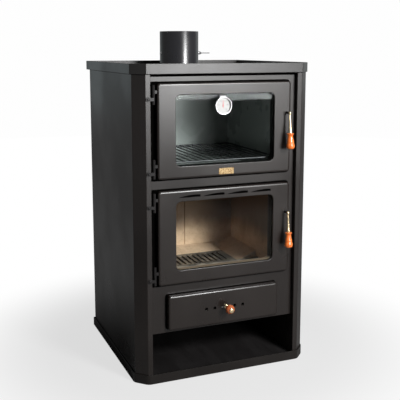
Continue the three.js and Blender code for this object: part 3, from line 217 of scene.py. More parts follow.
# The floor turns white towards its edge where the camera sees it, and brightens behind the stove
# where the paint mirrors it.
floor_look = Look("studio_floor", Base_Color=(0.30, 0.30, 0.30), Roughness=0.8, Specular_IOR_Level=0.1)
floor_seen = floor_look.node("ShaderNodeLightPath", {}, {}, "Is Camera Ray")
floor_mirrored = floor_look.node("ShaderNodeLightPath", {}, {}, "Is Glossy Ray")
floor_reach = floor_look.node("ShaderNodeVectorMath", {"operation": "LENGTH"},
                              {0: floor_look.coordinates}, "Value")
floor_whiter = floor_look.between(floor_reach, 0.42, 0.95, 0.70, 1.0)
floor_behind = floor_look.between(floor_look.axis("Y"), 0.0, 0.9, 0.0, 0.17)
floor_glow = floor_look.node("ShaderNodeEmission", {}, {"Color": (1, 1, 1), "Strength": 1.0})
floor_look.blend(floor_seen * floor_whiter + floor_mirrored * floor_behind, floor_look.own, floor_glow)
floor_radius, floor_z = 6, -0.0005
reach, bearing = np.meshgrid(np.linspace(0, floor_radius, 13), np.linspace(0, 2 * np.pi, 49), indexing="ij")
floor = surface("studio_floor", [(
    np.stack([reach * np.cos(bearing), reach * np.sin(bearing), 0 * reach + floor_z], axis=-1), False, False,
)], floor_look)

world = bpy.data.worlds.new("studio")
world.use_nodes = True
bpy.context.scene.world = world
room = Shading(world.node_tree)
room_strength = 0.04
for ray, more in (("Is Camera Ray", 0.95), ("Is Transmission Ray", 0.95), ("Is Glossy Ray", 0.21)):
    room_strength = room.node("ShaderNodeLightPath", {}, {}, ray) * more + room_strength
room_light = room.tree.nodes["Background"]
room.feed(room_light.inputs["Strength"], room_strength)
room.feed(room_light.inputs["Color"], (1, 1, 1))

# ------------------------------------------------------------------ casing
# Folded steel sheets in anthracite stove paint, a sprayed silicone enamel with a fine sandy grain:
# two side panels with their front corners, and the rear panel between them.


def stove_paint(name, colour, roughness, specular):
    """Sprayed stove paint: sheen in slow patches, smoother low down and away from the heat."""
    look = Look(name, Specular_IOR_Level=specular)
    patches, patch_spread, grain_height = look.noise(5.0, 3.0), 0.10, 0.00006
    darker, lighter = (tuple(share * part for part in colour) for share in (0.88, 1.12))
    sheen = look.between(patches, 0.3, 0.7, roughness - patch_spread / 2, roughness + patch_spread / 2)
    heat = look.between(look.axis("Z"), 0.18, 0.62, -0.05, 0.0)
    look.set(Base_Color=look.mix(look.between(patches, 0.3, 0.7), darker, lighter), Roughness=sheen + heat)
    look.grain(look.noise(900.0, 2.0), grain_height, 0.35)
    return look


def coat(look, *names):
    """Gives CAD nodes a finish."""
    for name in names:
        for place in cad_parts[name].material_slots:
            place.material = look.material


def soften(width, *names):
    """Rounds the edges of CAD nodes, as folding, deburring and paint do."""
    for name in names:
        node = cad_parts[name]
        weld = node.modifiers.new("weld", "WELD")
        weld.merge_threshold = 1e-5
        round_over = node.modifiers.new("edges", "BEVEL")
        round_over.width, round_over.segments = width, 3
        round_over.limit_method, round_over.angle_limit = "ANGLE", math.radians(28)


casing_paint = stove_paint("casing_paint", (0.0082, 0.0060, 0.0051), 0.36, 0.42)
coat(casing_paint, "side_panel_right", "side_panel_left", "back_panel")
soften(0.0010, "side_panel_right", "side_panel_left")

# ------------------------------------------------------------------ base tray and log niche
# A shallow welded tray with turned-up lips, and the niche's folded floor and liner. They get the
# same paint, and the niche's floor is rubbed to a shine where logs slide in and out.
tray_paint = stove_paint("tray_paint", (0.0095, 0.0080, 0.0072), 0.45, 0.22)
coat(tray_paint, "base_tray", "niche_liner")
soften(0.0009, "base_tray")

niche_paint = stove_paint("niche_floor_paint", (0.0115, 0.0105, 0.0105), 0.5, 0.4)
scuffs = niche_paint.noise(26.0, 6.0, (1.0, 0.25, 1.0))
niche_paint.set(Roughness=niche_paint.between(scuffs, 0.42, 0.66, 0.5, 0.32))
coat(niche_paint, "niche_floor")

# ------------------------------------------------------------------ tray rim and cooktop
# The rim is a folded and welded frame whose lower edge is hemmed; the cooktop is a thick steel
# plate, dark and a little polished by pans.
rim_paint = stove_paint("rim_paint", (0.0130, 0.0118, 0.0113), 0.34, 0.40)
coat(rim_paint, "rim_frame")
soften(0.0011, "rim_frame")

plate_iron = Look("cooktop_iron", Metallic=0.3)
rubbed = plate_iron.noise(9.0, 5.0)
plate_iron.set(
    Roughness=plate_iron.between(rubbed, 0.35, 0.7, 0.36, 0.56),
    Base_Color=plate_iron.mix(rubbed, (0.022, 0.022, 0.023), (0.040, 0.040, 0.041)),
)
plate_iron.grain(plate_iron.noise(420.0, 3.0), 0.00008, 0.4)
coat(plate_iron, "cooktop")
soften(0.0008, "cooktop")

# ------------------------------------------------------------------ flue collar and damper
# A rolled and welded spigot of glossy heat-proof steel on a pressed foot, with a damper disc on an
# axle: riveted at the left, clamped in a bush with a bent-wire tail at the right.


def extent(node):
    """A CAD node's low corner, its high corner and the point halfway between them."""
    low, high = (np.array(corner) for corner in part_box(node))
    return low, high, (low + high) / 2


def lathe(profile, count):
    """A profile of (radius, height) pairs turned about z: x = r cos a, y = r sin a, z = h."""
    profile = np.asarray(profile, float)
    angle = np.linspace(0, 2 * np.pi, count, endpoint=False)
    radius, height = profile[:, :1], profile[:, 1:]
    return np.stack(np.broadcast_arrays(radius * np.cos(angle), radius * np.sin(angle),
                                        height + 0 * angle), axis=-1)


flue_low, flue_high, flue_middle = extent("flue_collar")
flue_axis_y, flue_foot, flue_top = flue_middle[1], flue_low[2], flue_high[2]
flue_radius, flue_bore = 0.065, 0.063
foot_radius, foot_thickness, foot_edge, foot_fillet = 0.081, 0.003, 0.0008, 0.0035
foot_top = flue_foot + foot_thickness

flue_steel = Look("flue_steel", Base_Color=(0.011, 0.011, 0.013), Specular_IOR_Level=0.55)
handled = flue_steel.noise(12.0, 4.0, (1.0, 1.0, 0.4))
flue_steel.set(Roughness=flue_steel.between(handled, 0.3, 0.7, 0.2, 0.32))
flue_steel.grain(flue_steel.noise(700.0, 2.0), 0.00005, 0.3)
collar = surface("flue_spigot", [(lathe([
    (flue_bore, flue_foot), (foot_radius - foot_edge, flue_foot), (foot_radius, flue_foot + foot_edge),
    (foot_radius, foot_top - foot_edge), (foot_radius - foot_edge, foot_top),
    (flue_radius + foot_fillet, foot_top), (flue_radius + 0.0010, foot_top + 0.0010),
    (flue_radius, foot_top + foot_fillet), (flue_radius, flue_top - 0.0010),
    (flue_radius - 0.0004, flue_top - 0.0002), (flue_radius - 0.0010, flue_top),
    (flue_bore + 0.0004, flue_top - 0.0002), (flue_bore, flue_top - 0.0008),
], 128) + [0, flue_axis_y, 0], True, True)], flue_steel)
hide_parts("flue_collar")
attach(collar, "stove_body")

bright_steel = Look("bright_steel", Base_Color=(0.50, 0.50, 0.51), Metallic=1.0)
drawn = bright_steel.noise(300.0, 2.0, (0.1, 1.0, 1.0))
bright_steel.set(Roughness=bright_steel.between(drawn, 0.3, 0.7, 0.2, 0.4))
axle_z = extent("damper_axle")[2][2]
outside = flue_radius + 0.0003
turned_axle = lathe([
    (0, -0.0685), (0.0025, -0.0685), (0.0042, -0.0677), (0.0046, -0.0665), (0.0046, -outside),
    (0.0030, -outside), (0.0030, outside), (0.0046, outside), (0.0050, 0.0657), (0.0050, 0.0763),
    (0.0046, 0.0770), (0.0013, 0.0823), (0.0013, 0.1107), (0.0007, 0.1120), (0, 0.1120),
], 32)
axle = surface("damper_axle_wire", [(
    np.stack([turned_axle[..., 2], flue_axis_y + turned_axle[..., 1], axle_z + turned_axle[..., 0]], axis=-1),
    False, True,
)], bright_steel)
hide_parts("damper_axle")
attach(axle, "damper")
coat(plate_iron, "damper_disc")

# ------------------------------------------------------------------ oven
# A box of grey enamelled sheet with paler specks, inside a sooty smoke jacket. Its rack of chromed
# wire, dulled by heat, lies on two runners.
enamel = Look("oven_enamel", Specular_IOR_Level=0.5)
flecks = enamel.between(enamel.noise(700.0, 1.0), 0.66, 0.74)
enamel.set(
    Base_Color=enamel.mix(flecks, (0.255, 0.272, 0.261), (0.38, 0.39, 0.38)),
    Roughness=enamel.between(enamel.noise(8.0, 3.0), 0.3, 0.7, 0.2, 0.34),
)
coat(enamel, "oven_box")

sooty_sheet = Look("sooty_sheet", Roughness=0.7)
soot = sooty_sheet.noise(18.0, 5.0)
sooty_sheet.set(Base_Color=sooty_sheet.mix(soot, (0.010, 0.010, 0.010), (0.035, 0.033, 0.031)))
coat(sooty_sheet, "smoke_jacket", "firebox_shell", "ash_chamber")

rack_chrome = Look("rack_chrome", Base_Color=(0.10, 0.10, 0.105), Metallic=1.0)
dull = rack_chrome.noise(60.0, 3.0)
rack_chrome.set(Roughness=rack_chrome.between(dull, 0.35, 0.7, 0.5, 0.68))


def tube(path, radius, closed=False):
    """A level path given a round section: p + r (cos a across + sin a up); open ends are capped."""
    facets = 10
    path = np.asarray(path, float)
    if closed:
        along = np.roll(path, -1, axis=0) - np.roll(path, 1, axis=0)
    else:
        along = np.gradient(path, axis=0)
    along /= np.linalg.norm(along, axis=1, keepdims=True)
    up = np.array([0.0, 0.0, 1.0])
    across = np.cross(along, up)
    angle = np.linspace(0, 2 * np.pi, facets, endpoint=False)[None, :, None]
    ring = path[:, None] + radius * (np.cos(angle) * across[:, None] + np.sin(angle) * up)
    if not closed:
        ring = np.concatenate([path[None, :1].repeat(facets, 1), ring, path[None, -1:].repeat(facets, 1)])
    return ring, closed, True


def rounded(width, height, radius, x, z, steps=8):
    """A rounded rectangle's outline: a quarter circle about each corner's centre in turn."""
    angle = np.linspace(0, np.pi / 2, steps + 1)[None] + np.arange(4)[:, None] * np.pi / 2
    side = np.array([[1, 1], [-1, 1], [-1, -1], [1, -1]])
    middle = side * [width / 2 - radius, height / 2 - radius] + [x, z]
    arcs = middle[:, None] + radius * np.stack([np.cos(angle), np.sin(angle)], axis=-1)
    return arcs.reshape(-1, 2)


rim_wire, cross_wire, rack_corner, wire_inset, wire_count = 0.0025, 0.002, 0.012, 0.0022, 15
rack_low, rack_high, rack_middle = extent("oven_rack")
rack_z = rack_low[2] + rim_wire
rack_width, rack_depth = (rack_high - rack_low)[:2] - 2 * rim_wire
frame_path = rounded(rack_width, rack_depth, rack_corner, rack_middle[0], rack_middle[1], 6)
frame_path = np.column_stack([frame_path, np.full(len(frame_path), rack_z)])
pitch = (rack_width - 2 * rim_wire) / (wire_count + 1)
rack_wires = [tube(frame_path, rim_wire, closed=True)]
for place in (np.arange(wire_count) - (wire_count - 1) / 2) * pitch + rack_middle[0]:
    ends = [[place, rack_low[1] + wire_inset, rack_z], [place, rack_high[1] - wire_inset, rack_z]]
    rack_wires.append(tube(ends, cross_wire))
rack = surface("oven_rack_wires", rack_wires, rack_chrome, 60)
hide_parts("oven_rack")
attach(rack, "stove_body")

# ------------------------------------------------------------------ firebox
# Pressed firebricks round a cast grate and a ridged cast log guard, behind a throat of sooty sheet.
# The bricks are tan clay, darkened above the fire by soot and by painted shade, and paler by the grate and
# towards the left side wall.
brick = Look("firebrick", Roughness=0.92, Specular_IOR_Level=0.2)
clay = brick.noise(60.0, 6.0)
pits = brick.between(brick.noise(260.0, 2.0), 0.62, 0.72)
smoke = brick.noise(7.0, 5.0, (1.0, 1.0, 0.55))
# The dark mix is soot together with painted shade high up, where the lamp does not reach; the left wall is
# kept paler.
paler_left_wall = brick.between(brick.axis("X"), -0.173, -0.160, -0.35, 0.0)
soot_and_shade_above = brick.between(brick.axis("Z"), 0.29, 0.45, -0.28, 0.46)
soot_and_shade_share = brick.between(smoke + paler_left_wall + soot_and_shade_above, 0.30, 0.86, 0.0, 0.94)
tan = brick.mix(clay, (0.50, 0.34, 0.22), (0.72, 0.52, 0.36))
tan = brick.mix(pits, tan, (0.22, 0.14, 0.09))
brick.set(Base_Color=brick.mix(soot_and_shade_share, tan, (0.095, 0.056, 0.034)))
brick.grain(clay * 0.6 + brick.noise(240.0, 3.0) * 0.4, 0.0012, 0.5)
bricks = ["firebrick_side_right", "firebrick_side_left", "firebrick_back_right", "firebrick_back_left",
          "firebrick_floor_right", "firebrick_floor_left", "firebrick_floor_rear"]
coat(brick, *bricks)
soften(0.0020, *bricks)

cast_iron = Look("cast_iron", Roughness=0.55)
ashy = cast_iron.noise(24.0, 6.0)
cast_iron.set(
    Base_Color=cast_iron.mix(cast_iron.between(ashy, 0.4, 0.7), (0.070, 0.058, 0.048), (0.26, 0.21, 0.16)),
    Metallic=cast_iron.between(ashy, 0.4, 0.7, 0.35, 0.05),
)
cast_iron.grain(cast_iron.noise(300.0, 4.0), 0.0006, 0.5)
coat(cast_iron, "grate", "log_guard")
soften(0.0009, "grate", "log_guard")
coat(sooty_sheet, "firebox_throat")

# ------------------------------------------------------------------ ash drawer
# A pressed front with rounded edges, four drilled air holes and the slot of the air slide; the pan
# and the slide behind it are galvanised sheet, dark with ash.
ash_sheet = Look("ash_pan_sheet", Roughness=0.55, Metallic=0.7)
dusty = ash_sheet.noise(30.0, 5.0)
ash_sheet.set(Base_Color=ash_sheet.mix(dusty, (0.05, 0.05, 0.05), (0.20, 0.19, 0.18)))
coat(ash_sheet, "ash_drawer_pan", "air_slide")


def at_depth(outline, depth):
    """An outline in (x, z) as points at one depth y."""
    return np.column_stack([outline[:, 0], np.full(len(outline), depth), outline[:, 1]])


def pressed_shell(outline, edge, sheet, front, back, opening=None, lip=0.0):
    """Rings of a pressed cover, front to back and inside again, as (x, y, z) rows of equal count.

    The outline (width, height, radius, x, z) turns back through a quarter ellipse: the edge is its
    width on the face and its depth. An opening's ring ends the face and turns in by a round lip.
    """
    least_radius, face_margin, centre_margin = 0.0006, 0.0008, 0.004
    turn = np.linspace(0, np.pi / 2, 11)
    wide, deep = edge

    def ring(shape, inset, depth):
        width, high, radius, x, z = shape
        radius = max(radius - inset, least_radius)
        return at_depth(rounded(width - 2 * inset, high - 2 * inset, radius, x, z, 10), depth)

    rows = [ring(outline, 0, back)]
    rows += [ring(outline, wide * (1 - np.cos(a)), front + deep * (1 - np.sin(a))) for a in turn]
    rows.append(ring(outline, wide + face_margin, front))
    if opening is None:
        centre = np.tile([outline[3], front, outline[4]], (len(rows[0]), 1))
        rows += [ring(outline, wide + centre_margin, front), centre, centre + [0, sheet, 0]]
    else:
        rows.append(ring(opening, -lip - face_margin, front))
        rows += [ring(opening, -lip * (1 - np.sin(a)), front + lip * (1 - np.cos(a))) for a in turn]
        rows.append(ring(opening, 0, front + sheet))
    rows += [ring(outline, sheet + (wide - sheet) * (1 - np.cos(a)),
                  front + sheet + (deep - sheet) * (1 - np.sin(a))) for a in turn[::-2]]
    rows.append(ring(outline, sheet, back))
    return np.stack(rows)


def take_out(piece, cutter, smooth=True):
    """Cuts a closed cutter out of a piece for good; the cut faces get the cutter's finish."""
    step = piece.modifiers.new("cut", "BOOLEAN")
    step.object, step.solver, step.material_mode = cutter, "EXACT", "TRANSFER"
    whole = piece.evaluated_get(bpy.context.evaluated_depsgraph_get())
    cut_mesh = bpy.data.meshes.new_from_object(whole)
    piece.modifiers.clear()
    piece.data = cut_mesh
    if smooth:
        piece.data.shade_smooth()
        piece.data.set_sharp_from_angle(angle=math.radians(crease_angle))
    bpy.data.objects.remove(cutter)


def prism(outline, front, back):
    """A closed outline in (x, z) carried from one depth y to another, with its ends closed."""
    middle = np.tile(outline.mean(axis=0), (len(outline), 1))
    return np.stack([at_depth(middle, front), at_depth(outline, front),
                     at_depth(outline, back), at_depth(middle, back)]), False, True


def through(outline, face):
    """A cutter that starts a little before a pressing's face and ends behind its sheet."""
    before, behind = 0.002, 0.004
    return prism(outline, face - before, face + behind)


def circle(radius, x, z):
    """A circle's outline: x + r cos a, z + r sin a."""
    angle = np.linspace(0, 2 * np.pi, 32, endpoint=False)
    return np.column_stack([x + radius * np.cos(angle), z + radius * np.sin(angle)])


door_paint = stove_paint("door_paint", (0.0082, 0.0057, 0.0046), 0.33, 0.44)
drawer_low, drawer_high, drawer_middle = extent("ash_drawer_front")
drawer_size, face_y = drawer_high - drawer_low, drawer_low[1]
drawer_corner, drawer_edge, pressed_sheet = 0.008, (0.006, 0.0045), 0.0025
hole_radius, hole_places = 0.005, (-0.060, -0.033, 0.033, 0.060)
knob_x, _, knob_z = extent("air_knob_ferrule")[2]
knob_travel, stem_slot_high, stem_slot_corner = 0.013, 0.0066, 0.0032
drawer_front = surface("drawer_front_pressing", [(pressed_shell(
    (drawer_size[0], drawer_size[2], drawer_corner, drawer_middle[0], drawer_middle[2]),
    drawer_edge, pressed_sheet, face_y, drawer_high[1],
), True, True)], door_paint)
holes = [through(circle(hole_radius, drawer_middle[0] + place, knob_z), face_y) for place in hole_places]
holes.append(through(rounded(knob_travel + stem_slot_high, stem_slot_high, stem_slot_corner,
                             knob_x - knob_travel / 2, knob_z), face_y))
take_out(drawer_front, surface("hole_cutter", holes, door_paint))
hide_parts("ash_drawer_front")
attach(drawer_front, "ash_drawer")

# ------------------------------------------------------------------ front plate
# The sheet behind the doors, with shallow channels pressed into it round each door and the drawer
# and along its top under the rim. Their matt black is painted shade, so that they read as deep dark gaps.
# Painted shade: a matt black that stands for the shadow in gaps, behind slots and on cut edges.
shade_black = Look("shade_black", Base_Color=(0.0012, 0.0011, 0.0010), Specular_IOR_Level=0.0)
shade_black.set(Roughness=shade_black.between(shade_black.noise(40.0, 3.0), 0.3, 0.7, 0.7, 0.9))
sheet_low, sheet_high, _ = extent("front_plate")
sheet_thickness, land_depth, land_inside, land_corner = 0.003, 0.0023, 0.006, 0.004
under_rim, overrun = 0.0074, 0.0001
sheet_front = sheet_high[1] - sheet_thickness
land_near, land_far = sheet_front - 0.001, sheet_front + land_depth


def land(node, right, below, above, radius, left=None):
    """A ring-shaped cutter: from a node's outline grown by its borders to a little inside it.

    With no left border it runs out over the sheet's left edge.
    """
    low, high, middle = extent(node)
    x0 = sheet_low[0] - overrun if left is None else low[0] - left
    x1, z0, z1 = high[0] + right, low[2] - below, high[2] + above
    outer = rounded(x1 - x0, z1 - z0, radius, (x0 + x1) / 2, (z0 + z1) / 2, 6)
    width, _, height = high - low - 2 * land_inside
    inner = rounded(width, height, land_corner, middle[0], middle[2], 6)
    return np.stack([at_depth(outer, land_near), at_depth(outer, land_far),
                     at_depth(inner, land_far), at_depth(inner, land_near)]), True, True


sheet_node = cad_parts["front_plate"]
sheet_mesh = sheet_node.data.copy()
sheet_mesh.transform(sheet_node.matrix_world)
merged = bmesh.new()
merged.from_mesh(sheet_mesh)
bmesh.ops.remove_doubles(merged, verts=merged.verts, dist=1e-5)
merged.to_mesh(sheet_mesh)
merged.free()
sheet_mesh.materials.clear()
sheet_mesh.materials.append(casing_paint.material)
front_sheet = bpy.data.objects.new("front_plate_sheet", sheet_mesh)
bpy.context.scene.collection.objects.link(front_sheet)
door_borders = {"right": 0.0022, "below": 0.0050, "above": 0.0048, "radius": 0.010}
sheet_width = sheet_high[0] - sheet_low[0]
take_out(front_sheet, surface("land_cutter", [
    land("oven_door_skin", **door_borders),
    land("fire_door_skin", **door_borders),
    land("ash_drawer_front", left=0.0045, right=0.0012, below=0.0015, above=0.0030, radius=0.008),
    prism(rounded(sheet_width + 2 * overrun, 2 * under_rim, 0.0005, 0.0, sheet_high[2], 2),
          land_near, land_far),
], shade_black), smooth=False)
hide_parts("front_plate")
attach(front_sheet, "stove_body")

# ------------------------------------------------------------------ air knob
# A turned brass ferrule, a lacquered beech ball and a domed brass cap on one stem.
brass = Look("brass", Metallic=1.0)
tarnish = brass.noise(90.0, 4.0)
brass.set(
    Base_Color=brass.mix(brass.between(tarnish, 0.45, 0.75), (0.91, 0.75, 0.49), (0.60, 0.42, 0.20)),
    Roughness=brass.between(tarnish, 0.4, 0.8, 0.22, 0.40),
)


def lacquered_wood(name, light, dark, pith, lean=0.0):
    """Turned wood under lacquer: year rings about its pith, drawn out along the grain."""
    look = Look(name, Roughness=0.34, Coat_Weight=0.4, Coat_Roughness=0.12)
    place = look.node("ShaderNodeMapping", {"vector_type": "TEXTURE"}, {
        "Vector": look.coordinates, "Location": pith, "Rotation": (lean, 0.0, 0.0),
        "Scale": (1.0, 1.0, 6.0),
    })
    rings = look.node("ShaderNodeTexWave", {"wave_type": "RINGS", "rings_direction": "X"}, {
        "Vector": place, "Scale": 130.0, "Distortion": 5.0, "Detail": 3.0, "Detail Scale": 1.5,
    }, "Fac")
    look.set(Base_Color=look.mix(look.between(rings, 0.2, 0.9, 0.0, 0.75), light, dark))
    return look


def on_knob_axis(points):
    """Turns a lathed shape's z to the knob's axis, which runs out of the drawer's face."""
    return np.stack([knob_x + points[..., 0], face_y - points[..., 2], knob_z + points[..., 1]], axis=-1)


ball_radius, ferrule_length, seat_radius = 0.014, 0.014, 0.0055
cap_radius, cap_edge, cap_side, cap_dome, joint_gap = 0.0075, 0.0003, 0.0006, 0.0026, 0.0003
ball_centre = ferrule_length + math.sqrt(ball_radius ** 2 - seat_radius ** 2)
cap_seat = ball_centre + math.sqrt(ball_radius ** 2 - cap_radius ** 2) + joint_gap
sweep = np.linspace(math.asin(seat_radius / ball_radius), math.pi - math.asin(cap_radius / ball_radius), 28)
ball_profile = np.column_stack([ball_radius * np.sin(sweep), ball_centre - ball_radius * np.cos(sweep)])
ball_profile = np.concatenate([[[0, ball_profile[0, 1]]], ball_profile, [[0, ball_profile[-1, 1]]]])
dome = np.linspace(0, np.pi / 2, 10)
cap_profile = np.column_stack([cap_radius * np.cos(dome), cap_seat + cap_side + cap_dome * np.sin(dome)])
cap_foot = [[0, cap_seat], [cap_radius - cap_edge, cap_seat], [cap_radius, cap_seat + cap_edge]]
cap_profile = np.concatenate([cap_foot, cap_profile])
ferrule_profile = [
    (0, -0.0043), (0.003, -0.0043), (0.003, 0.0003), (0.0066, 0.0003), (0.0070, 0.0007), (0.0070, 0.0021),
    (0.0066, 0.0026), (0.0052, 0.0034), (0.0045, 0.0050), (0.0044, 0.0085), (0.0047, 0.0112),
    (0.0055, 0.0135), (0.0055, 0.0137), (0, 0.0137),
]
ball_pith = (knob_x, face_y - 0.027, knob_z)
ball_wood = lacquered_wood("ball_wood", (0.42, 0.105, 0.030), (0.20, 0.040, 0.014), ball_pith)
for name, profile, look, node in (
    ("knob_ferrule", ferrule_profile, brass, "air_knob_ferrule"),
    ("knob_ball", ball_profile, ball_wood, "air_knob_ball"),
    ("knob_cap", cap_profile, brass, "air_knob_cap"),
):
    knob_piece = surface(name, [(on_knob_axis(lathe(profile, 48)), False, True)], look)
    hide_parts(node)
    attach(knob_piece, "air_control")

# ------------------------------------------------------------------ doors
# Each door is one deep pressing with a drawn-in window lip, hung at the left on lift-off hinges. An
# angle frame clamps the pane behind it, inside a woven rope seal. The fire door has four louvre
# slots, with a matt black strip behind them that is painted shade, so that the slots read dark.


def grazing(look):
    """A share that is small where glass is seen face on and grows to one along its surface."""
    return look.node("ShaderNodeFresnel", {}, {"IOR": 1.45})


def clear_pane(look, tint, share):
    """Glass that is seen through, with a share of the look's own gloss over it."""
    look.blend(share, look.node("ShaderNodeBsdfTransparent", {}, {"Color": tint}), look.own)


glass = Look("window_glass", Base_Color=(0.92, 0.95, 0.95), Roughness=0.03, Metallic=1.0)
glass_smears = glass.between(glass.noise(7.0, 5.0, (1.0, 1.0, 0.6)), 0.45, 0.8, 0.0, 0.003)
clear_pane(glass, (0.95, 0.97, 0.965), grazing(glass) * 0.16 + glass_smears)

rope = Look("seal_rope", Roughness=0.95)
twist = rope.node("ShaderNodeTexWave", {"bands_direction": "DIAGONAL"}, {
    "Vector": rope.coordinates, "Scale": 260.0, "Distortion": 1.0,
}, "Fac")
rope.set(Base_Color=rope.mix(twist, (0.05, 0.048, 0.046), (0.16, 0.15, 0.14)))
rope.grain(twist, 0.0008, 0.8)

hinge_paint = stove_paint("hinge_paint", (0.009, 0.008, 0.008), 0.36, 0.25)
frame_black, ash_dust = (0.004, 0.0036, 0.0033), (0.20, 0.145, 0.10)
frame_paints = {door: stove_paint(f"{door}_frame_paint", frame_black, 0.6, 0.06) for door in ("oven", "fire")}
ashen = frame_paints["fire"]
normal = ashen.node("ShaderNodeNewGeometry", {}, {}, "Normal")
faces_up = ashen.node("ShaderNodeSeparateXYZ", {}, {0: normal}, "Z")
ashen.set(Base_Color=ashen.mix(ashen.between(faces_up, 0.5, 0.9), frame_black, ash_dust))

door_face = extent("oven_door_skin")[0][1]
door_corner, door_edge = 0.010, (0.0065, 0.0050)
border_sides, border_high, window_corner, window_lip = 0.111, 0.0335, 0.016, 0.0016
handle_inset, handle_drops, shaft_hole = 0.014, {"oven": 0.095, "fire": 0.091}, 0.0045
slot_count, slot_length, slot_pitch, slot_drop = 4, 0.066, 0.077, 0.022
clamp_corner, flange_depth, flange_half = 0.004, 0.020, 0.002


def air_slot(right, low):
    """A louvre slot's outline: straight below, bowed above, blunt at the right, a point at the left.

    Its top is the quadratic curve blunt (1 - t)^2 + 2 bow t (1 - t) + point t^2.
    """
    blunt, bow, point = 0.0066, 0.0088, 0.0012
    across = np.linspace(0, 1, 16)
    top = blunt * (1 - across) ** 2 + 2 * bow * across * (1 - across) + point * across ** 2
    upper = np.column_stack([right - slot_length * across, low + top])
    return np.concatenate([upper, [[right - slot_length, low], [right, low]]])


for door, border_low, slots in (("oven", 0.036, 0), ("fire", 0.042, slot_count)):
    low, high, middle = extent(f"{door}_door_skin")
    size = high - low
    window = (size[0] - border_sides, size[2] - border_high - border_low, window_corner,
              middle[0], (low[2] + border_low + high[2] - border_high) / 2)
    skin = surface(f"{door}_door_pressing", [(pressed_shell(
        (size[0], size[2], door_corner, middle[0], middle[2]),
        door_edge, pressed_sheet, low[1], high[1], window, window_lip,
    ), True, True)], door_paint)
    cutters = [through(circle(shaft_hole, high[0] - handle_inset, high[2] - handle_drops[door]), low[1])]
    for number in range(slots):
        right = middle[0] + (number - (slots - 1) / 2) * slot_pitch + slot_length / 2
        cutters.append(through(air_slot(right, high[2] - slot_drop), low[1]))
    # The cut faces of the shaft hole and the slots are painted shade in matt black.
    take_out(skin, surface("slot_cutter", cutters, shade_black))
    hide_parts(f"{door}_door_skin")
    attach(skin, f"{door}_door")
    coat(glass, f"{door}_door_glass")
    clamp_low, clamp_high, clamp_middle = extent(f"{door}_door_inner_frame")
    clamp_width, _, clamp_height = clamp_high - clamp_low
    clamp = rounded(clamp_width, clamp_height, clamp_corner, clamp_middle[0], clamp_middle[2], 6)
    flange_outer, flange_inner = (
        rounded(window[0] + grow, window[1] + grow, window_corner + grow / 2, *window[3:], 6)
        for grow in (flange_half, -flange_half)
    )
    flange_end = clamp_low[1] + flange_depth
    inner_frame = surface(f"{door}_angle_frame", [(np.stack([
        at_depth(clamp, clamp_low[1]), at_depth(clamp, clamp_high[1]),
        at_depth(flange_outer, clamp_high[1]), at_depth(flange_outer, flange_end),
        at_depth(flange_inner, flange_end), at_depth(flange_inner, clamp_low[1]),
    ]), True, True)], frame_paints[door])
    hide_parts(f"{door}_door_inner_frame")
    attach(inner_frame, f"{door}_door")
    coat(rope, f"{door}_door_seal")
    coat(hinge_paint, *(f"{door}_{half}_hinge_{level}"
                        for half in ("frame", "door") for level in ("upper", "lower")))
    coat(bright_steel, f"{door}_latch_tongue")

_, fire_high, fire_middle = extent("fire_door_skin")
slots_low = fire_high[2] - slot_drop
strip_low, strip_high = slots_low - 0.0023, slots_low + 0.0090
strip_front, strip_thickness, strip_past = door_face + 0.0036, 0.0010, 0.006
strip_width = (slot_count - 1) * slot_pitch + slot_length + 2 * strip_past
# A matt black strip behind the slots: painted shade where the slots look into the door.
slot_shade = surface("slot_shade_strip", [prism(
    rounded(strip_width, strip_high - strip_low, 0.001, fire_middle[0], (strip_low + strip_high) / 2, 2),
    strip_front, strip_front + strip_thickness,
)], shade_black)
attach(slot_shade, "fire_door")

# ------------------------------------------------------------------ handles
# Polished brass stems with a ball end, swelling towards a turned grip of orange-red lacquered wood.
# Each hangs from a shaft through the door and leans out a few degrees.


def spline(keys, steps):
    """A smooth line through the keys: between two of them, a cubic in t on four neighbours.

    Its slope at a key is half the step from the key before to the key after.
    """
    keys = np.asarray(keys, float)
    padded = np.concatenate([2 * keys[:1] - keys[1:2], keys, 2 * keys[-1:] - keys[-2:-1]])
    t = np.linspace(0, 1, steps, endpoint=False)[None, :, None]
    a, b, c, d = (padded[k:len(padded) - 3 + k, None] for k in range(4))
    line = 0.5 * (2 * b + (c - a) * t + (2 * a - 5 * b + 4 * c - d) * t ** 2
                  + (3 * b - a - 3 * c + d) * t ** 3)
    return np.concatenate([line.reshape(-1, 2), keys[-1:]])


handle_lean, handle_stand_off = math.radians(4.4), 0.019
stem_length, grip_length, grip_gap, shaft_radius = 0.060, 0.049, 0.0003, 0.004
grip_pith = np.array([0.004, 0.0, -0.085])
stem_profile = np.concatenate([[[0, 0.0047]], spline([
    (0.0020, 0.0043), (0.0040, 0.0026), (0.0048, 0.0000), (0.0042, -0.0030), (0.0034, -0.0054),
    (0.0033, -0.0100), (0.0034, -0.0240), (0.0038, -0.0360), (0.0043, -0.0450), (0.0051, -0.0555),
], 5), [[0.0052, -0.0560], [0.0052, -0.0597], [0.0049, -stem_length], [0, -stem_length]]])
grip_keys = np.array([
    (0.0086, 0.0), (0.0104, 0.015), (0.0110, 0.045), (0.0106, 0.080), (0.0088, 0.120), (0.0080, 0.180),
    (0.0082, 0.270), (0.0093, 0.390), (0.0104, 0.500), (0.0108, 0.560), (0.0104, 0.600), (0.0112, 0.650),
    (0.0125, 0.740), (0.0126, 0.830), (0.0109, 0.920), (0.0068, 0.980), (0.0020, 1.0),
])
grip_keys[:, 1] = -stem_length - grip_gap - grip_length * grip_keys[:, 1]
grip_profile = np.concatenate([[[0, grip_keys[0, 1]]], spline(grip_keys, 5), [[0, grip_keys[-1, 1]]]])


def hang(points, pivot):
    """Tips a shape by the lean l about its pivot: y = y cos l + z sin l, z = z cos l - y sin l."""
    x, y, z = points[..., 0], points[..., 1], points[..., 2]
    cos, sin = math.cos(handle_lean), math.sin(handle_lean)
    return np.stack([x, y * cos + z * sin, z * cos - y * sin], axis=-1) + pivot


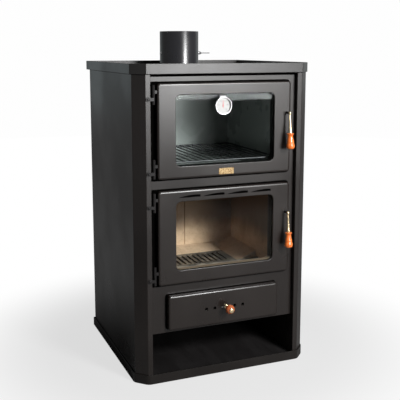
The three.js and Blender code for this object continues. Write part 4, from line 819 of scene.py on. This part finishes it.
for door, drop in handle_drops.items():
    high = extent(f"{door}_door_skin")[1]
    pivot = np.array([high[0] - handle_inset, door_face - handle_stand_off, high[2] - drop])
    shaft_length = extent(f"{door}_handle_stem")[1][1] - pivot[1]
    turned_shaft = lathe([(0, 0), (shaft_radius, 0), (shaft_radius, shaft_length), (0, shaft_length)], 32)
    stem = surface(f"{door}_brass_stem", [(hang(lathe(stem_profile, 40), pivot), False, True)], brass)
    shaft = turned_shaft[..., [0, 2, 1]] + pivot
    shaft = surface(f"{door}_handle_shaft", [(shaft, False, True)], hinge_paint)
    grip_wood = lacquered_wood(f"{door}_grip_wood", (0.74, 0.175, 0.022), (0.34, 0.055, 0.010),
                               tuple(hang(grip_pith, pivot)), -handle_lean)
    grip = surface(f"{door}_wooden_grip", [(hang(lathe(grip_profile, 48), pivot), False, True)], grip_wood)
    for piece, node in ((stem, f"{door}_handle_stem"), (grip, f"{door}_handle_grip"),
                        (shaft, f"{door}_handle_stem")):
        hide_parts(node)
        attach(piece, f"{door}_handle")

# ------------------------------------------------------------------ thermometer
# A spun steel cup with a rolled bezel, hung on the window's upper edge by a flared tab. The dial is
# white enamel with a printed scale under a flat lens.
dial_low, _, dial_centre = extent("thermometer_dial")
gauge_face = extent("thermometer_case")[0][1]
gauge_radius, gauge_inner, gauge_depth, dial_seat = 0.026, 0.0234, 0.009, 0.0078
cup = lathe([
    (0, gauge_depth), (0.0235, gauge_depth), (0.0247, gauge_depth - 0.0004),
    (0.0250, gauge_depth - 0.0013), (0.0250, 0.0034), (0.0254, 0.0030), (0.0259, 0.0026),
    (gauge_radius, 0.0018), (0.0259, 0.0008), (0.0253, 0.0001), (0.0246, 0.0000), (0.0238, 0.0003),
    (gauge_inner, 0.0010), (gauge_inner, dial_seat), (0, dial_seat),
], 72)[..., [0, 2, 1]] + [dial_centre[0], gauge_face, dial_centre[2]]
hook_top = extent("oven_door_skin")[1][2] - border_high - 0.0003
tab_path = np.array([
    (gauge_face + 0.0085, dial_centre[2]), (gauge_face + 0.0085, hook_top - 0.011),
    (gauge_face + 0.0088, hook_top - 0.0085), (gauge_face + 0.0125, hook_top - 0.0025),
    (gauge_face + 0.0148, hook_top - 0.0007), (door_face + 0.0025, hook_top - 0.0002),
])
tab_half = np.array([0.0072, 0.0072, 0.0078, 0.0102, 0.0108, 0.0108])
tab_wall = np.array([
    (-0.0005, 0), (-0.0005, 0), (-0.0005, 0.0001), (-0.0002, 0.0004), (0, 0.0002), (0, 0.0002),
])
outer, inner = tab_path + tab_wall, tab_path - tab_wall
tab = np.stack([
    np.column_stack([dial_centre[0] + side * tab_half, line])
    for side, line in ((-1, outer), (1, outer), (1, inner), (-1, inner))
], axis=1)
tab = np.concatenate([tab[:1].mean(axis=1, keepdims=True).repeat(4, 1), tab,
                      tab[-1:].mean(axis=1, keepdims=True).repeat(4, 1)])
gauge_case = surface("gauge_case_and_tab", [(cup, False, True), (tab, False, True)], bright_steel)
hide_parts("thermometer_case")
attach(gauge_case, "oven_door")

dial_enamel = Look("dial_enamel", Roughness=0.45)
aged = dial_enamel.noise(180.0, 3.0)
dial_enamel.set(Base_Color=dial_enamel.mix(aged, (0.42, 0.42, 0.415), (0.37, 0.37, 0.36)))
coat(dial_enamel, "thermometer_dial")
ink = Look("dial_ink", Base_Color=(0.10, 0.10, 0.11))
ink.set(Roughness=ink.between(ink.noise(400.0, 2.0), 0.3, 0.7, 0.5, 0.7))
print_back, print_front, numeral_thick = dial_low[1] - 0.00001, dial_low[1] - 0.00004, 0.00004
tick_count, tick_outer, long_tick, short_tick = 51, 0.0214, (0.0182, 0.00026), (0.0198, 0.00013)
numeral_radius, numeral_size = 0.0146, 0.0042


def dial_way(share):
    """The unit step (x, z) towards a share of the scale, which runs from -135 to 135 degrees."""
    angle = math.radians(135 * (2 * share - 1))
    return np.array([math.sin(angle), math.cos(angle)])


marks = []
for tick in range(tick_count):
    along = dial_way(tick / (tick_count - 1))
    tick_inner, half = long_tick if tick % 10 == 0 else short_tick
    beside = np.array([along[1], -along[0]]) * half
    bar = np.array([along * tick_inner - beside, along * tick_inner + beside,
                    along * tick_outer + beside, along * tick_outer - beside]) + dial_centre[[0, 2]]
    marks.append(prism(bar, print_front, print_back))
scale = surface("dial_scale", marks, ink)
numerals = []
for step, word in enumerate(("0", "100", "200", "300", "400", "500")):
    text = bpy.data.curves.new("numeral", "FONT")
    text.body, text.size, text.align_x, text.align_y = word, numeral_size, "CENTER", "CENTER"
    text.extrude, text.resolution_u = numeral_thick / 2, 3
    holder = bpy.data.objects.new("numeral", text)
    bpy.context.scene.collection.objects.link(holder)
    mesh = bpy.data.meshes.new_from_object(holder.evaluated_get(bpy.context.evaluated_depsgraph_get()))
    flat = np.empty(len(mesh.vertices) * 3)
    mesh.vertices.foreach_get("co", flat)
    flat = flat.reshape(-1, 3)
    x, z = dial_centre[[0, 2]] + numeral_radius * dial_way(step / 5)
    upright = np.column_stack([flat[:, 0] + x, print_back - numeral_thick / 2 - flat[:, 2], flat[:, 1] + z])
    mesh.vertices.foreach_set("co", upright.ravel())
    mesh.materials.clear()
    mesh.materials.append(ink.material)
    bpy.data.objects.remove(holder)
    numeral = bpy.data.objects.new(f"dial_numeral_{word}", mesh)
    bpy.context.scene.collection.objects.link(numeral)
    numerals.append(numeral)
for piece in (scale, *numerals):
    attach(piece, "oven_door")

pointer_red = Look("pointer_red", Base_Color=(0.62, 0.03, 0.03))
pointer_red.set(Roughness=pointer_red.between(pointer_red.noise(300.0, 2.0), 0.3, 0.7, 0.35, 0.5))
coat(pointer_red, "thermometer_pointer")

lens_glass = Look("lens_glass", Base_Color=(0.95, 0.95, 0.95), Roughness=0.02, Metallic=1.0)
clear_pane(lens_glass, (0.97, 0.97, 0.97), grazing(lens_glass) * 0.05)
coat(lens_glass, "thermometer_lens")

# ------------------------------------------------------------------ nameplate
# A small bare brass plate under the oven's window, pressed with a raised border and held by two
# drive pins.
plate_low, plate_high, plate_middle = extent("nameplate")
plate_size = plate_high - plate_low
plate_front, plate_back = plate_low[1], plate_high[1]
plate_corner, least_corner, plate_edge = 0.0015, 0.0004, 0.0002
border_in, field_in, field_flat, field_sunk = 0.0012, 0.0015, 0.0030, 0.0004
pin_inset, pin_sunk = 0.0042, 0.0002


def plate_ring(inset, depth):
    """The plate's outline drawn in all round and set at one depth."""
    width, _, height = plate_size - 2 * inset
    radius = max(plate_corner - inset, least_corner)
    return at_depth(rounded(width, height, radius, plate_middle[0], plate_middle[2], 5), depth)


plate_rings = [plate_ring(inset, depth) for inset, depth in (
    (0, plate_back), (0, plate_front + plate_edge), (plate_edge, plate_front), (border_in, plate_front),
    (field_in, plate_front + field_sunk), (field_flat, plate_front + field_sunk),
)]
plate_centre = np.tile(plate_middle[[0, 2]], (len(plate_rings[0]), 1))
plate_sheet = np.stack([at_depth(plate_centre, plate_back), *plate_rings,
                        at_depth(plate_centre, plate_front + field_sunk)])
pin = lathe([(0, 0.0001), (0.0011, 0.0001), (0.0014, 0.0005), (0.0014, 0.0008)], 20)[..., [0, 2, 1]]
pin_out = plate_size[0] / 2 - pin_inset
pins = [pin + [plate_middle[0] + side * pin_out, plate_front - pin_sunk, plate_middle[2]] for side in (-1, 1)]
plate_brass = Look("plate_brass", Metallic=1.0)
tarnished = plate_brass.noise(320.0, 4.0)
plate_brass.set(
    Base_Color=plate_brass.mix(plate_brass.between(tarnished, 0.42, 0.62),
                               (0.42, 0.31, 0.165), (0.17, 0.105, 0.05)),
    Roughness=plate_brass.between(tarnished, 0.4, 0.7, 0.30, 0.48),
)
plate = surface("bare_nameplate", [(shape, False, True) for shape in (plate_sheet, *pins)], plate_brass)
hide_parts("nameplate")
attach(plate, "oven_door")
